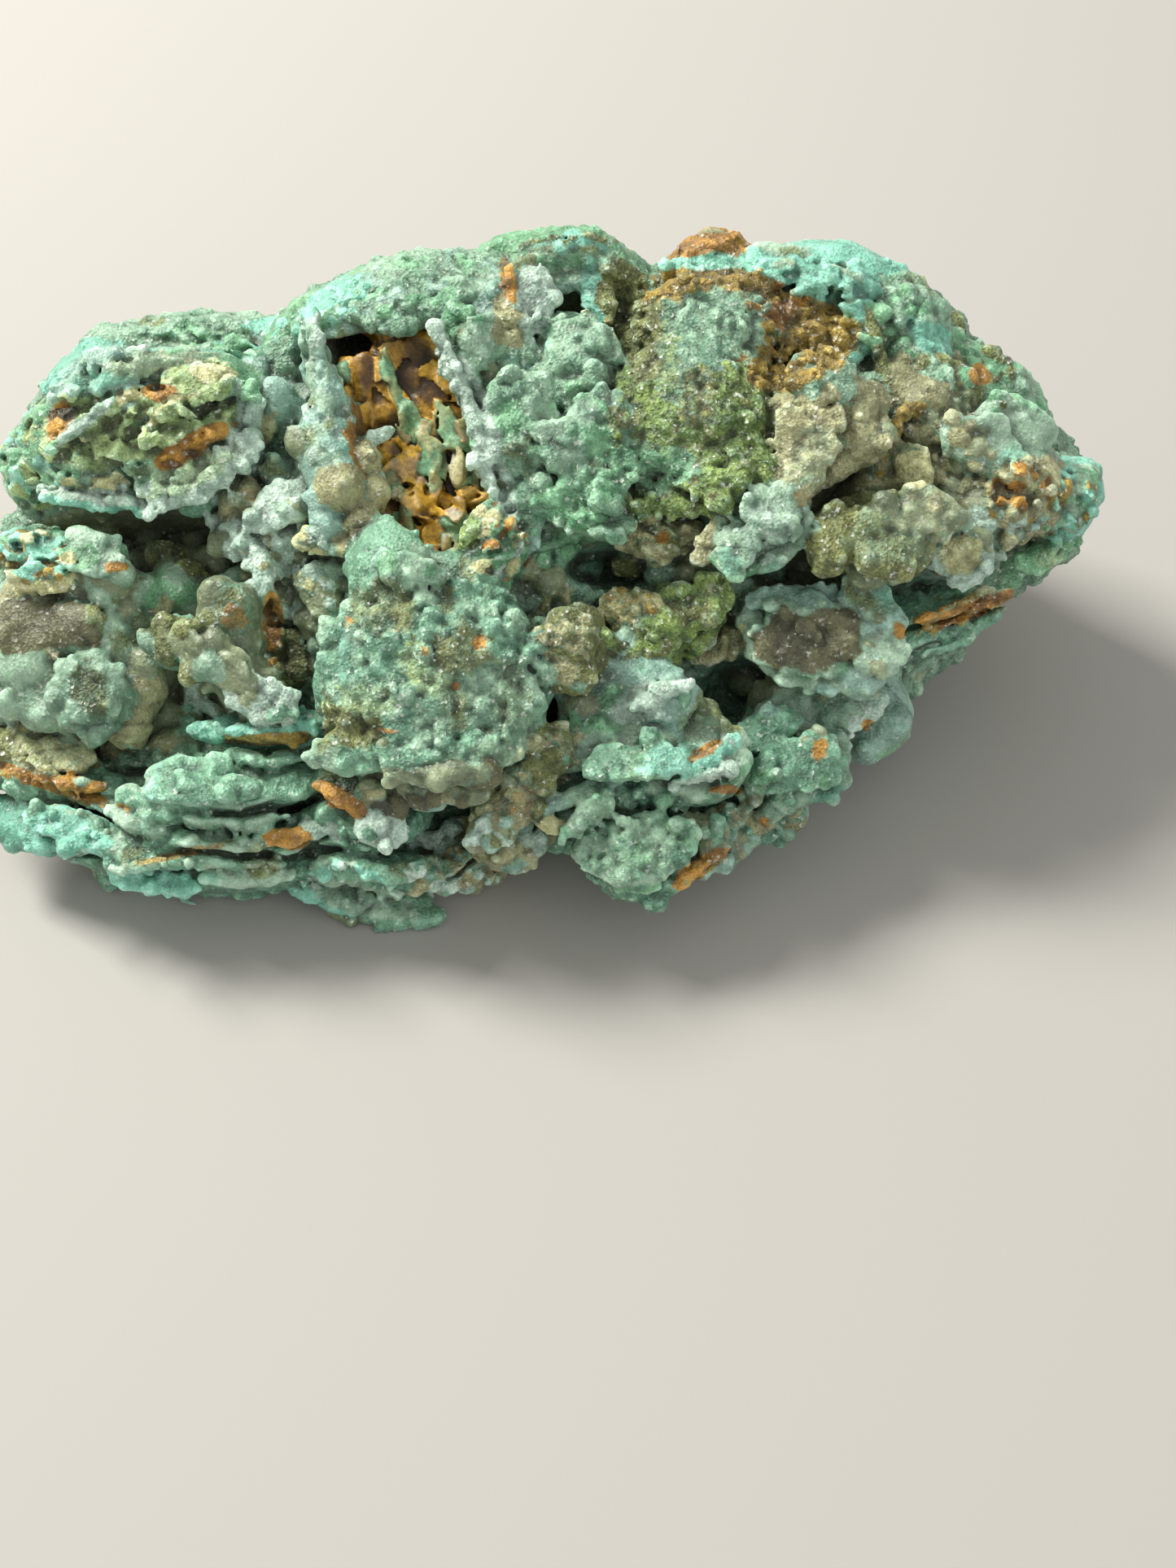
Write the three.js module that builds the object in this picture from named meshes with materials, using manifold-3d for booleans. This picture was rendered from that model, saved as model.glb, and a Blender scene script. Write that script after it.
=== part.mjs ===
// A smithsonite cluster: a hand specimen of blue-green botryoidal crust on iron-stained rock, lying on its base.
// It is one natural solid. A skin is drawn over blended lumps with pits sunk in them, and scalloped shelves and
// knobs that stand clear of it are joined on. Millimetres, +Z up, +X along the specimen's length, origin at the
// middle of the base.
import * as THREE from 'three';
import { mergeVertices } from 'three/addons/utils/BufferGeometryUtils.js';
import Module from 'manifold-3d';

const wasm = await Module();
wasm.setup();

// ---------- driving dimensions ----------
const FACE_ELEVATION = THREE.MathUtils.degToRad(49.1); // how far the show face looks up from the horizontal
const FACE_CENTRE = new THREE.Vector3(1.4, -2.9, 22); // where the middle of the show face's plane stands
const EYE_DISTANCE = 236.4; // from that plane to the point from which places on the face are sighted
const EYE_AXIS = new THREE.Vector2(4.8, -22.6); // where the eye's axis meets the plane, across and up
const RIM_OUT = -5; // how far out of the plane the rim of the specimen lies, beyond the core
const SKIN_ROOT = new THREE.Vector3(0, 7, 7); // the point deep inside that every part of the skin is seen from
const SKIN_CENTRE = new THREE.Vector3(0, 0, 21); // the specimen's rough middle
const SKIN_SHAPE = new THREE.Vector3(63, 34, 26); // and its rough half sizes, which space the skin's facets
const SKIN_DETAIL = 15; // splits of each edge of the skin's starting icosahedron
const LUMP_BLEND = 2.6; // width of the fillet between lumps
const PIT_BLEND = 1.4; // width of the rounding at a pit's brink
const UNDERSIDE_BLEND = 8; // and of the rounding where the sides turn under
const UNDERSIDE_SWELL = 2.2; // how far the underside rises and dips, so that it rests on several patches
const UNDERSIDE_SPACING = 17; // and how far apart its swells are
const ROUGHNESS = 0.7; // height of the skin's own unevenness
const ROUGH_SIZE = 5.5; // and its spacing
const SLIVER = 0.5; // steps smaller than this are smoothed out of the joined skin
const GROUND_REACH = 200; // half the size of the block that trims the base

// ---------- the show face's frame ----------
const ACROSS = new THREE.Vector3(1, 0, 0);
const UP = new THREE.Vector3(0, Math.sin(FACE_ELEVATION), Math.cos(FACE_ELEVATION));
const OUT = new THREE.Vector3().crossVectors(ACROSS, UP);
const FACE_TURN = new THREE.Quaternion().setFromRotationMatrix(new THREE.Matrix4().makeBasis(ACROSS, UP, OUT));

// The point that stands out mm before the face's plane, on the sight line that crosses the plane at across, up.
function onSightLine(across, up, out) {
  const nearer = 1 - out / EYE_DISTANCE;
  const a = EYE_AXIS.x + (across - EYE_AXIS.x) * nearer;
  const b = EYE_AXIS.y + (up - EYE_AXIS.y) * nearer;
  return FACE_CENTRE.clone().addScaledVector(ACROSS, a).addScaledVector(UP, b).addScaledVector(OUT, out);
}

// The turn of a form on the face: spin turns it within the face, lean tips its outer side up towards level, and
// turn swings that side towards +X, in degrees.
function turnOnFace(spin = 0, lean = 0, turn = 0) {
  const d = THREE.MathUtils.degToRad;
  const own = new THREE.Quaternion().setFromEuler(new THREE.Euler(d(-lean), d(turn), d(spin), 'XYZ'));
  return FACE_TURN.clone().multiply(own);
}

// ---------- roughness ----------
// A repeatable number in -1..1 for a corner of the lattice.
function corner(x, y, z) {
  const s = Math.sin(x * 127.1 + y * 311.7 + z * 74.7) * 43758.5453;
  return (s - Math.floor(s)) * 2 - 1;
}

// Smooth noise in -1..1, one lump to a unit of length.
function noise(x, y, z) {
  const [i, j, k] = [Math.floor(x), Math.floor(y), Math.floor(z)];
  const ease = (t) => t * t * (3 - 2 * t);
  const [u, v, w] = [ease(x - i), ease(y - j), ease(z - k)];
  const mix = THREE.MathUtils.lerp;
  const row = (dj, dk) => mix(corner(i, j + dj, k + dk), corner(i + 1, j + dj, k + dk), u);
  return mix(mix(row(0, 0), row(1, 0), v), mix(row(0, 1), row(1, 1), v), w);
}

// ---------- the core ----------
// Each row: name, across, up, out, then its half sizes across, up and out.
const CORE = [
  ['left', -37, -4, -13, 26, 25, 20],
  ['middle', -10, 1, -13, 32, 33, 24],
  ['right', 24, 8, -13, 30, 26, 22],
  ['tip', 46, 9.5, -9, 15.5, 11.5, 12],
  ['left_crest', -9, 24.5, -9, 22, 12, 12],
  ['right_crest', 25, 26, -9, 23, 11, 12],
  ['left_foot', -32, -24, -4, 26, 9, 11],
  ['middle_foot', 9, -23, -5, 21, 10, 12],
  ['upper_left', -43, 17, -8, 15, 8, 11],
];

// How far out of the face's plane the core's skin lies at a place on the face.
function coreOut(across, up) {
  let out = RIM_OUT;
  for (const [, a, b, w, ra, rb, rw] of CORE) {
    const inside = 1 - ((across - a) / ra) ** 2 - ((up - b) / rb) ** 2;
    if (inside > 0) out = Math.max(out, w + rw * Math.sqrt(inside));
  }
  return out;
}

// ---------- forms on the show face ----------
// Each row: name, across, up, how far its middle stands proud of the core, its half sizes across, up and out,
// then spin, lean and turn where it has them.
const LUMPS = [
  // the broken nodule at the upper left, over the slot
  ['nodule', -44.5, 18, 1, 14, 8, 7, 12],
  ['nodule_tip', -56, 12.5, 3, 4.5, 5, 5.5],
  ['nodule_brow', -34, 23.5, 0, 9, 4.6, 6, 4],
  ['nodule_neck', -30.5, 19, 0, 5, 6, 5],
  ['hollow_wall', -40, 0, -4, 12, 4, 5],
  ['foot_bulk', -36, -30, -1, 18, 5.5, 7],
  ['foot_corner', -16, -31, 0, 9, 6, 7],
  ['left_bulk', -55, -8, 0, 9.5, 9, 5],
  // posts between the hollow and the window
  ['post', -31.5, -1.5, 1, 3, 6, 4],
  ['brown_knob', -35, -4, 1.5, 3.4, 3.2, 2.6],
  ['window_left', -22.5, 12, 1, 4.6, 9.5, 5, 14],
  ['window_right', -4, 17, 0, 4.5, 11, 5, 17],
  ['window_foot', -7, 4.5, 3, 4.2, 4, 4],
  // crest
  ['bridge_left', -23, 29.5, 1, 8, 3.8, 5, 30],
  ['bridge', -13, 32.5, 2, 9, 4, 5, 5],
  ['bridge_right', 0.5, 35.5, 3, 8, 4, 5, 0],
  ['bridge_knot', -4, 31, 3, 5, 4.5, 4.5],
  ['cap', 18.5, 36, 2, 4.5, 3, 4],
  ['right_crown', 31, 35, 2, 9.5, 4, 5, -5],
  ['right_brow', 39.5, 28.5, 1, 6, 5.5, 5, -30],
  ['right_shoulder', 48.5, 20.5, 1, 9, 5.5, 6, -38],
  // middle
  ['druse_upper', 1.5, 22, 1, 5, 6, 5],
  ['druse_lower', 4.5, 12, 1, 6.5, 7, 5],
  ['moss', 15.5, 17, 2, 10, 9, 6, -10],
  ['moss_top', 19.5, 28, 2, 9, 6, 5],
  ['blue_knob', 19.5, 28.5, 5, 5.5, 5.5, 3.4],
  // right
  ['right_druse', 42, 19, 1, 6, 7, 5, 10],
  ['right_swell', 49, 12, 1, 7, 6.5, 5],
  ['tip_nodule', 53, 9.5, 3, 5, 4.5, 4],
  ['tip_point', 58, 8.5, 2, 4.2, 5.6, 5, -30],
  ['right_underside', 36, -15.5, 0, 5, 5.5, 5],
  ['olive_mound', 3.5, -7.5, 3, 3.5, 4.5, 4],
  ['root', 9.5, -27.5, 2, 6.4, 5.6, 6],
  ['root_beads', 24.5, -26.5, 2, 5, 3, 3],
  // the central dome and the ridge below it
  ['dome', -12.5, -11.5, 3, 12.5, 12.5, 8],
  ['dome_head', -17, 1.5, 2, 5, 5, 5],
  ['dome_right', -5, -13, 4, 5.5, 8.5, 6],
  ['brown_ridge', -2, -22.5, 4, 3.6, 9, 4.5, -42],
  ['grey_foot', -7, -31, 3, 8, 4.5, 5, 18],
];

const PITS = [
  ['left_slot', -46, 4.5, -1, 17, 4, 9],
  ['left_bowl', -39, -7, 1, 12, 10, 6.5],
  ['window', -14.5, 16, 1, 6.4, 13.5, 7.5, 14],
  ['window_top', -21.5, 25, 0, 2.6, 3, 7],
  ['under_bridge', 2, 30, 0, 4.5, 3, 6, -10],
  ['middle_slot', 7, 1.5, 0, 5, 2.4, 7, -8],
  ['under_flap', 26.5, 2.5, 0, 7.5, 3.8, 8, -20],
  ['beside_flap', 31.5, 10, 0, 2.8, 8, 5, -32],
  ['between_plates', 21, -12.5, 1, 5.5, 3.8, 8, 15],
  ['beside_dome', 1.2, -15.5, 1, 2.6, 4.8, 8, -15],
  ['under_right', 43, -2, 0, 10, 3, 8, 16],
  ['right_hollow', 49.5, 22.5, 0, 3, 2.5, 3.5],
  ['moss_hollow', 27, 25, 1, 4, 3.4, 4],
];

// The hollow under the middle of the front, between the two feet: its centre and half sizes.
const ARCH = { centre: new THREE.Vector3(-1.6, -39.9, -1), size: new THREE.Vector3(7, 12, 6.5) };

const SHELVES = [
  ['nodule_lip', -43, 11.5, 3, 13, 3.2, 3.5, 3, 25],
  ['left_lobe', -55, -8, 2, 9, 9, 4.5, 0, 15, -25],
  ['left_lobe_low', -53, -13, 5, 8.5, 4.5, 3.5, -8, 25],
  ['left_chip', -54, 2.5, 5, 7.5, 3.4, 2.4, -8, 35],
  ['left_disc', -50.5, -13.5, 9, 4, 4, 3],
  ['pale_shelf', -31, 6.5, 2, 5.5, 4.5, 2.6, 20, 30],
  ['grey_tongue', -34.5, -10.5, 4, 8, 2.8, 2.6, -38, 15],
  ['window_left_rim', -21.8, 20.5, 3, 1.7, 7, 3.4, 15],
  ['window_right_rim', -8.2, 18.5, 2.5, 1.9, 11.5, 4, 17],
  ['flap_high', 30, 16.5, 3, 5.5, 7, 3, -25, 0, -20],
  ['flap_low', 23.5, 6, 4, 4.8, 5.5, 2.6, -30, 10, -10],
  ['mid_bracket', 12.5, 5, 2, 4, 2.8, 2, 0, 30],
  ['olive_knob', 37.5, 5.5, 3, 6, 4.2, 3.2, 0, 15],
  ['right_shelf', 45, 3.5, 2, 6, 3.4, 3, 10, 35],
  ['far_shelf', 47, -4, 4, 8.5, 2.8, 2.4, 22, 35],
  ['grey_plate', 31, -7, 5, 8.5, 4.8, 2.8, -12, 15],
  ['blue_plate_high', 8.5, -11, 6, 7.5, 4.4, 2.8, -12, 25],
  ['blue_plate_low', 7.5, -16.5, 8, 6.5, 4.5, 3, 20, 30],
  ['teal_plate', 15.5, -18.5, 5, 7, 5.5, 3.2, -8, 25],
  ['teal_underplate', 15, -24, 5, 7, 2.6, 2.2, 6, 38],
  ['green_plate', 29, -15, 4, 6.5, 3.6, 2.6, 18, 25],
  ['bright_plate', 27, -21, 5, 6.5, 4.6, 3, 22, 30],
  ['moss_shelf', 14, -5.5, 3, 5.5, 3.6, 2.6, 30, 20],
  ['root_lobe', 9.8, -29.8, 6, 6.2, 5.6, 3.6, -35, 30],
  ['root_shelf', 18.5, -29.5, 4, 6.5, 3, 2.6, 35, 35],
  ['side_shelf', 3.5, -25, 5, 4, 2.6, 2, 40, 35],
  ['foot_lobe', -9.5, -31, 5, 6.5, 3.8, 3, 12, 30],
  ['foot_lobe_right', -3.5, -29, 5, 4.5, 3, 2.6, 35, 30],
  ['ledge_1', -56, -21.5, 5, 9, 3.6, 2.4, -14, 38],
  ['ledge_2', -32, -17, 5, 7, 2.6, 2, 4, 38],
  ['ledge_3', -35, -24, 5, 11, 3.8, 2.4, 6, 38],
  ['ledge_4', -54, -27.5, 5, 8.5, 3.6, 2.6, -16, 38],
  ['ledge_5', -38, -29, 6, 13, 3.4, 2.2, 4, 38],
  ['ledge_6', -36.5, -33, 6, 12.5, 3.2, 2.2, 0, 38],
  ['ledge_7', -21, -24.5, 4, 8, 4, 3, -18, 38],
  ['ledge_8', -20, -31, 6, 8, 3.6, 2.6, -10, 38],
  ['ledge_9', -19, -35.5, 7, 7.5, 3.4, 2.6, -16, 38],
];

// Knobs seated on the skin: across, up, radius.
const KNOBS = [
  [9, -3, 2.4],
  [-49, 0.5, 3.2],
  [-43, 2, 2.8],
  [-36, 1.5, 3],
  [-45.5, -2.5, 2.6],
  [-40.5, -2, 2.6],
  [-46.5, -6.5, 3],
  [-41, -7, 3.4],
  [-36.5, -5.5, 2.6],
  [-43, -12, 3.2],
  [-38.5, -12.5, 2.6],
  [-45, -16, 3],
  [-40, -16.5, 2.8],
  [19, 7, 2.6],
  [13, 9, 2.4],
  [42, 13, 2.6],
  [38, 11.5, 2.4],
  [1.5, 5, 2.6],
];

// ---------- the skin ----------
function placed([, across, up, proud, ra, rb, rw, spin, lean, turn]) {
  return {
    centre: onSightLine(across, up, coreOut(across, up) + proud),
    toOwn: turnOnFace(spin, lean, turn).invert(),
    size: new THREE.Vector3(ra, rb, rw),
  };
}

const SKIN_LUMPS = [
  ...CORE.map(([, across, up, out, ra, rb, rw]) => ({
    centre: onSightLine(across, up, out),
    toOwn: turnOnFace().invert(),
    size: new THREE.Vector3(ra, rb, rw),
  })),
  ...LUMPS.map(placed),
];
const SKIN_PITS = [
  ...PITS.map(placed),
  { centre: ARCH.centre, toOwn: new THREE.Quaternion(), size: ARCH.size },
];

// About how far the point is outside the ellipsoid, negative within it.
const own = new THREE.Vector3();
function outsideBy(point, { centre, toOwn, size }) {
  own.copy(point).sub(centre).applyQuaternion(toOwn).divide(size);
  const share = own.length();
  const slope = own.divide(size).length();
  return slope > 1e-9 ? (share * (share - 1)) / slope : -Math.min(size.x, size.y, size.z);
}

// The lesser of two distances, filleted where they are nearly alike.
function blend(a, b, width) {
  const near = Math.max(width - Math.abs(a - b), 0) / width;
  return Math.min(a, b) - (near * near * width) / 4;
}

function outsideSkin(point) {
  let distance = Infinity;
  for (const lump of SKIN_LUMPS) distance = blend(distance, outsideBy(point, lump), LUMP_BLEND);
  for (const pit of SKIN_PITS) distance = -blend(-distance, outsideBy(point, pit), PIT_BLEND);
  const swell = UNDERSIDE_SWELL * noise(point.x / UNDERSIDE_SPACING, point.y / UNDERSIDE_SPACING, 0.5);
  distance = -blend(-distance, point.z - swell, UNDERSIDE_BLEND);
  const at = own.copy(point).divideScalar(ROUGH_SIZE);
  return distance + ROUGHNESS * (noise(at.x, at.y, at.z) + 0.5 * noise(2 * at.x, 2 * at.y, 2 * at.z));
}

// The outermost place where a ray from the skin's root leaves the rock.
function onSkin(direction) {
  const point = new THREE.Vector3();
  const distanceAt = (reach) => outsideSkin(point.copy(SKIN_ROOT).addScaledVector(direction, reach));
  let far = 90;
  let away = distanceAt(far);
  while (away > 0 && far > 1) {
    far -= Math.max(0.35, 0.6 * away);
    away = distanceAt(far);
  }
  let near = far;
  far += 2;
  for (let halving = 0; halving < 12; halving++) {
    const middle = (near + far) / 2;
    if (distanceAt(middle) > 0) far = middle;
    else near = middle;
  }
  return point.copy(SKIN_ROOT).addScaledVector(direction, near);
}

function skin() {
  const geometry = new THREE.IcosahedronGeometry(1, SKIN_DETAIL - 1);
  const place = geometry.attributes.position;
  const drawn = new Map();
  const direction = new THREE.Vector3();
  for (let i = 0; i < place.count; i++) {
    direction.fromBufferAttribute(place, i).normalize();
    const key = direction.toArray().map((x) => x.toFixed(5)).join();
    if (!drawn.has(key)) {
      direction.multiply(SKIN_SHAPE).add(SKIN_CENTRE).sub(SKIN_ROOT).normalize();
      drawn.set(key, onSkin(direction));
    }
    place.setXYZ(i, ...drawn.get(key));
  }
  return toSolid(geometry);
}

// ---------- shelves and knobs ----------
const SHELF_LOBES = 5;
const SHELF_BLUNT = 0.62; // 1 would make a shelf a plain lens, and less gives it a blunt rim
const LOBE_DEPTH = 0.08;

// A slab with a blunt scalloped rim, its flat side facing out of the face.
function shelf(row, index) {
  const { centre, toOwn, size } = placed(row);
  const geometry = new THREE.SphereGeometry(1, 3 * SHELF_LOBES, 4).rotateX(Math.PI / 2);
  const place = geometry.attributes.position;
  const p = new THREE.Vector3();
  for (let i = 0; i < place.count; i++) {
    p.fromBufferAttribute(place, i);
    const reach = Math.hypot(p.x, p.y);
    const wide = reach > 1e-6 ? Math.pow(reach, SHELF_BLUNT) / reach : 1;
    const lobe = 1 + LOBE_DEPTH * reach * Math.cos(SHELF_LOBES * Math.atan2(p.y, p.x));
    const skinned = 1 + 0.12 * noise(2.1 * p.x + index, 2.1 * p.y, 2.1 * p.z);
    place.setXYZ(i, p.x * wide * lobe * skinned * size.x, p.y * wide * lobe * skinned * size.y, p.z * size.z);
  }
  return set(geometry, centre, toOwn.invert());
}

// How far out of the face's plane the skin lies at a place on the face.
function skinOut(across, up) {
  let out = 30;
  while (out > -30 && outsideSkin(onSightLine(across, up, out)) > 0) out -= 0.25;
  return out;
}

function knob([across, up, radius]) {
  const centre = onSightLine(across, up, skinOut(across, up) + 0.15 * radius);
  return set(new THREE.IcosahedronGeometry(radius, 1), centre, turnOnFace());
}

function set(geometry, centre, turn) {
  return toSolid(geometry.applyMatrix4(new THREE.Matrix4().compose(centre, turn, new THREE.Vector3(1, 1, 1))));
}

// ---------- joining ----------
function toSolid(geometry) {
  geometry.deleteAttribute('normal');
  geometry.deleteAttribute('uv');
  const merged = mergeVertices(geometry, 1e-4);
  const mesh = new wasm.Mesh({
    numProp: 3,
    vertProperties: merged.attributes.position.array,
    triVerts: new Uint32Array(merged.index.array),
  });
  return new wasm.Manifold(mesh);
}

// Everything above the surface it lies on.
function groundBlock() {
  const box = new THREE.BoxGeometry(2 * GROUND_REACH, 2 * GROUND_REACH, 2 * GROUND_REACH);
  box.translate(0, 0, GROUND_REACH);
  return toSolid(box);
}

// The largest of the bodies a solid falls into.
function mainBody(solid) {
  return solid.decompose().reduce((best, body) => (body.volume() > best.volume() ? body : best));
}

// Slides the solid along the ground until the origin is under the middle of its bounding box.
function centred(solid) {
  const { min, max } = solid.boundingBox();
  return solid.translate([-(min[0] + max[0]) / 2, -(min[1] + max[1]) / 2, 0]);
}

function toGeometry(solid) {
  const mesh = solid.getMesh();
  const geometry = new THREE.BufferGeometry();
  geometry.setAttribute('position', new THREE.BufferAttribute(mesh.vertProperties, 3));
  geometry.setIndex(new THREE.BufferAttribute(mesh.triVerts, 1));
  return geometry;
}

const joined = [...SHELVES.map(shelf), ...KNOBS.map(knob)].reduce((solid, form) => solid.add(form), skin());
const rock = centred(mainBody(joined.simplify(SLIVER).intersect(groundBlock())));
const stone = new THREE.MeshStandardMaterial({ color: 0x7fb39a, roughness: 0.55, metalness: 0 });
const cluster = new THREE.Mesh(toGeometry(rock), stone);
cluster.name = 'smithsonite_cluster';

const specimen = new THREE.Group();
specimen.add(cluster);

export default specimen;
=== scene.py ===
"""A smithsonite cluster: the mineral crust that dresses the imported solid, with its floor, lights and
camera.

The stone is grown as signed distances on grids of voxels, in millimetres. Lumps are blended into a core,
pits are sunk in it, and scalloped shelves, leaves, flakes and round knobs are joined on. Every form is made
of a mineral, whose habit says how rough its skin is and how many fine knobs it has. Patches of the skin are
broken into blocks or cut into layers. The skin is meshed in pieces, in metres.
"""

import math
from collections import namedtuple
from concurrent.futures import ThreadPoolExecutor
from functools import lru_cache

import bpy
import numpy as np
import openvdb
from mathutils import Matrix


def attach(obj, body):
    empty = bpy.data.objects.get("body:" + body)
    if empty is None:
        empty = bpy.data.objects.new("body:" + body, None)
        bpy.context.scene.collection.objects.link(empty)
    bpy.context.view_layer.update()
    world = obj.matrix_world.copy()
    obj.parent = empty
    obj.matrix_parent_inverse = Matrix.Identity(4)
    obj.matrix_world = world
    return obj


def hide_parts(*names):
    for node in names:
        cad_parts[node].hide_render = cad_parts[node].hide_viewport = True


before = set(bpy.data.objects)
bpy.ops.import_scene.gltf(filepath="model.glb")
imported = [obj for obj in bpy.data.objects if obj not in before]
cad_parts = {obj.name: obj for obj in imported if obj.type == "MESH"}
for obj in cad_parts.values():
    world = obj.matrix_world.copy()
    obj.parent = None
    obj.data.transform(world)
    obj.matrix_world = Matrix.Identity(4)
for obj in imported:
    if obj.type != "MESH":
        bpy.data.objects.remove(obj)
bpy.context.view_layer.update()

MM = 0.001
NODE = "smithsonite_cluster"

# ---------- the show face's frame, as in the solid ----------
FACE_ELEVATION = math.radians(49.1)  # how far the show face looks up from the horizontal
FACE_CENTRE = np.array([1.4, -2.9, 22.0])  # where the middle of the show face's plane stands
EYE_DISTANCE = 236.4  # from that plane to the point from which places on the face are sighted
EYE_AXIS = (4.8, -22.6)  # where the eye's axis meets the plane, across and up
RIM_OUT = -5.0  # how far out of the plane the rim of the specimen lies, beyond the core

ACROSS = np.array([1.0, 0.0, 0.0])
UP = np.array([0.0, math.sin(FACE_ELEVATION), math.cos(FACE_ELEVATION)])
OUT = np.cross(ACROSS, UP)
FACE = np.stack([ACROSS, UP, OUT], axis=1)
EYE = FACE_CENTRE + EYE_AXIS[0] * ACROSS + EYE_AXIS[1] * UP + EYE_DISTANCE * OUT

# ---------- the camera ----------
PHOTO_SIZE = (1445, 1927)
PHOTO_FOCAL = 2600.0  # the lens's focal length, in the photograph's pixels
SENSOR = 36.0


def add_camera():
    data = bpy.data.cameras.new("camera")
    data.sensor_fit = "AUTO"
    data.sensor_width = SENSOR
    data.lens = SENSOR * PHOTO_FOCAL / max(PHOTO_SIZE)
    data.clip_start = 0.01
    camera = bpy.data.objects.new("camera", data)
    bpy.context.scene.collection.objects.link(camera)
    pose = np.eye(4)
    pose[:3, :3] = FACE
    pose[:3, 3] = EYE * MM
    camera.matrix_world = Matrix(pose)
    bpy.context.scene.camera = camera


add_camera()

# ---------- the minerals ----------
# Darker and lighter colour, linear; how rough the skin is, in mm; the share of places with a coarse, a
# middling and a fine knob; and how grainy it looks.
Mineral = namedtuple("Mineral", "dark light rough knobs grain")
MINERALS = {
    "crust": Mineral((0.07, 0.18, 0.11), (0.31, 0.52, 0.35), 0.40, (0.2, 0.35, 0.5), 1.0),
    "grape": Mineral((0.08, 0.11, 0.055), (0.32, 0.38, 0.22), 0.10, (0, 0.02, 0.08), 0.35),
    "umber": Mineral((0.035, 0.038, 0.014), (0.16, 0.16, 0.07), 0.10, (0, 0, 0.15), 0.5),
    "brown": Mineral((0.13, 0.13, 0.055), (0.47, 0.475, 0.25), 0.14, (0, 0.06, 0.2), 0.6),
    "teal": Mineral((0.045, 0.16, 0.095), (0.24, 0.50, 0.33), 0.20, (0, 0.10, 0.3), 0.7),
    "aqua": Mineral((0.14, 0.27, 0.18), (0.42, 0.61, 0.45), 0.12, (0, 0.05, 0.1), 0.4),
    "blue": Mineral((0.12, 0.26, 0.20), (0.40, 0.62, 0.52), 0.10, (0, 0.04, 0.12), 0.5),
    "druse": Mineral((0.10, 0.25, 0.155), (0.37, 0.59, 0.41), 0.30, (0, 0.30, 0.6), 0.95),
    "tan": Mineral((0.19, 0.19, 0.08), (0.55, 0.55, 0.30), 0.20, (0, 0.15, 0.3), 0.9),
    "olive": Mineral((0.055, 0.075, 0.016), (0.26, 0.29, 0.085), 0.15, (0, 0.2, 0.5), 1.1),
    "moss": Mineral((0.055, 0.13, 0.022), (0.32, 0.46, 0.11), 0.60, (0, 0.35, 0.9), 1.4),
    "green": Mineral((0.05, 0.21, 0.09), (0.28, 0.60, 0.34), 0.25, (0, 0.05, 0.15), 0.7),
    "turquoise": Mineral((0.12, 0.38, 0.27), (0.32, 0.76, 0.60), 0.22, (0, 0.1, 0.2), 0.6),
    "cream": Mineral((0.42, 0.42, 0.17), (0.80, 0.80, 0.44), 0.20, (0, 0.1, 0.2), 0.8),
    "lime": Mineral((0.18, 0.29, 0.10), (0.58, 0.75, 0.33), 0.22, (0, 0.1, 0.3), 1.0),
    "ochre": Mineral((0.13, 0.09, 0.010), (0.52, 0.36, 0.06), 0.50, (0, 0.3, 0.5), 1.1),
    "rust": Mineral((0.16, 0.07, 0.008), (0.62, 0.32, 0.04), 0.18, (0, 0.0, 0.1), 0.7),
    "pale": Mineral((0.27, 0.40, 0.32), (0.60, 0.78, 0.66), 0.28, (0, 0.15, 0.5), 0.8),
}
MINERAL_NAMES = list(MINERALS)
ROUGHNESS = np.array([mineral.rough for mineral in MINERALS.values()], np.float32)

# ---------- the forms ----------
# Each row: across, up, out, then its half sizes across, up and out, in mm.
CORE = [
    (-37, -4, -13, 26, 25, 20),
    (-10, 1, -13, 32, 33, 24),
    (24, 8, -13, 30, 26, 22),
    (46, 9.5, -9, 15.5, 11.5, 12),
    (-9, 24.5, -9, 22, 12, 12),
    (25, 26, -9, 23, 11, 12),
    (-32, -24, -4, 26, 9, 11),
    (9, -23, -5, 21, 10, 12),
    (-43, 17, -8, 15, 8, 11),
]

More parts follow.
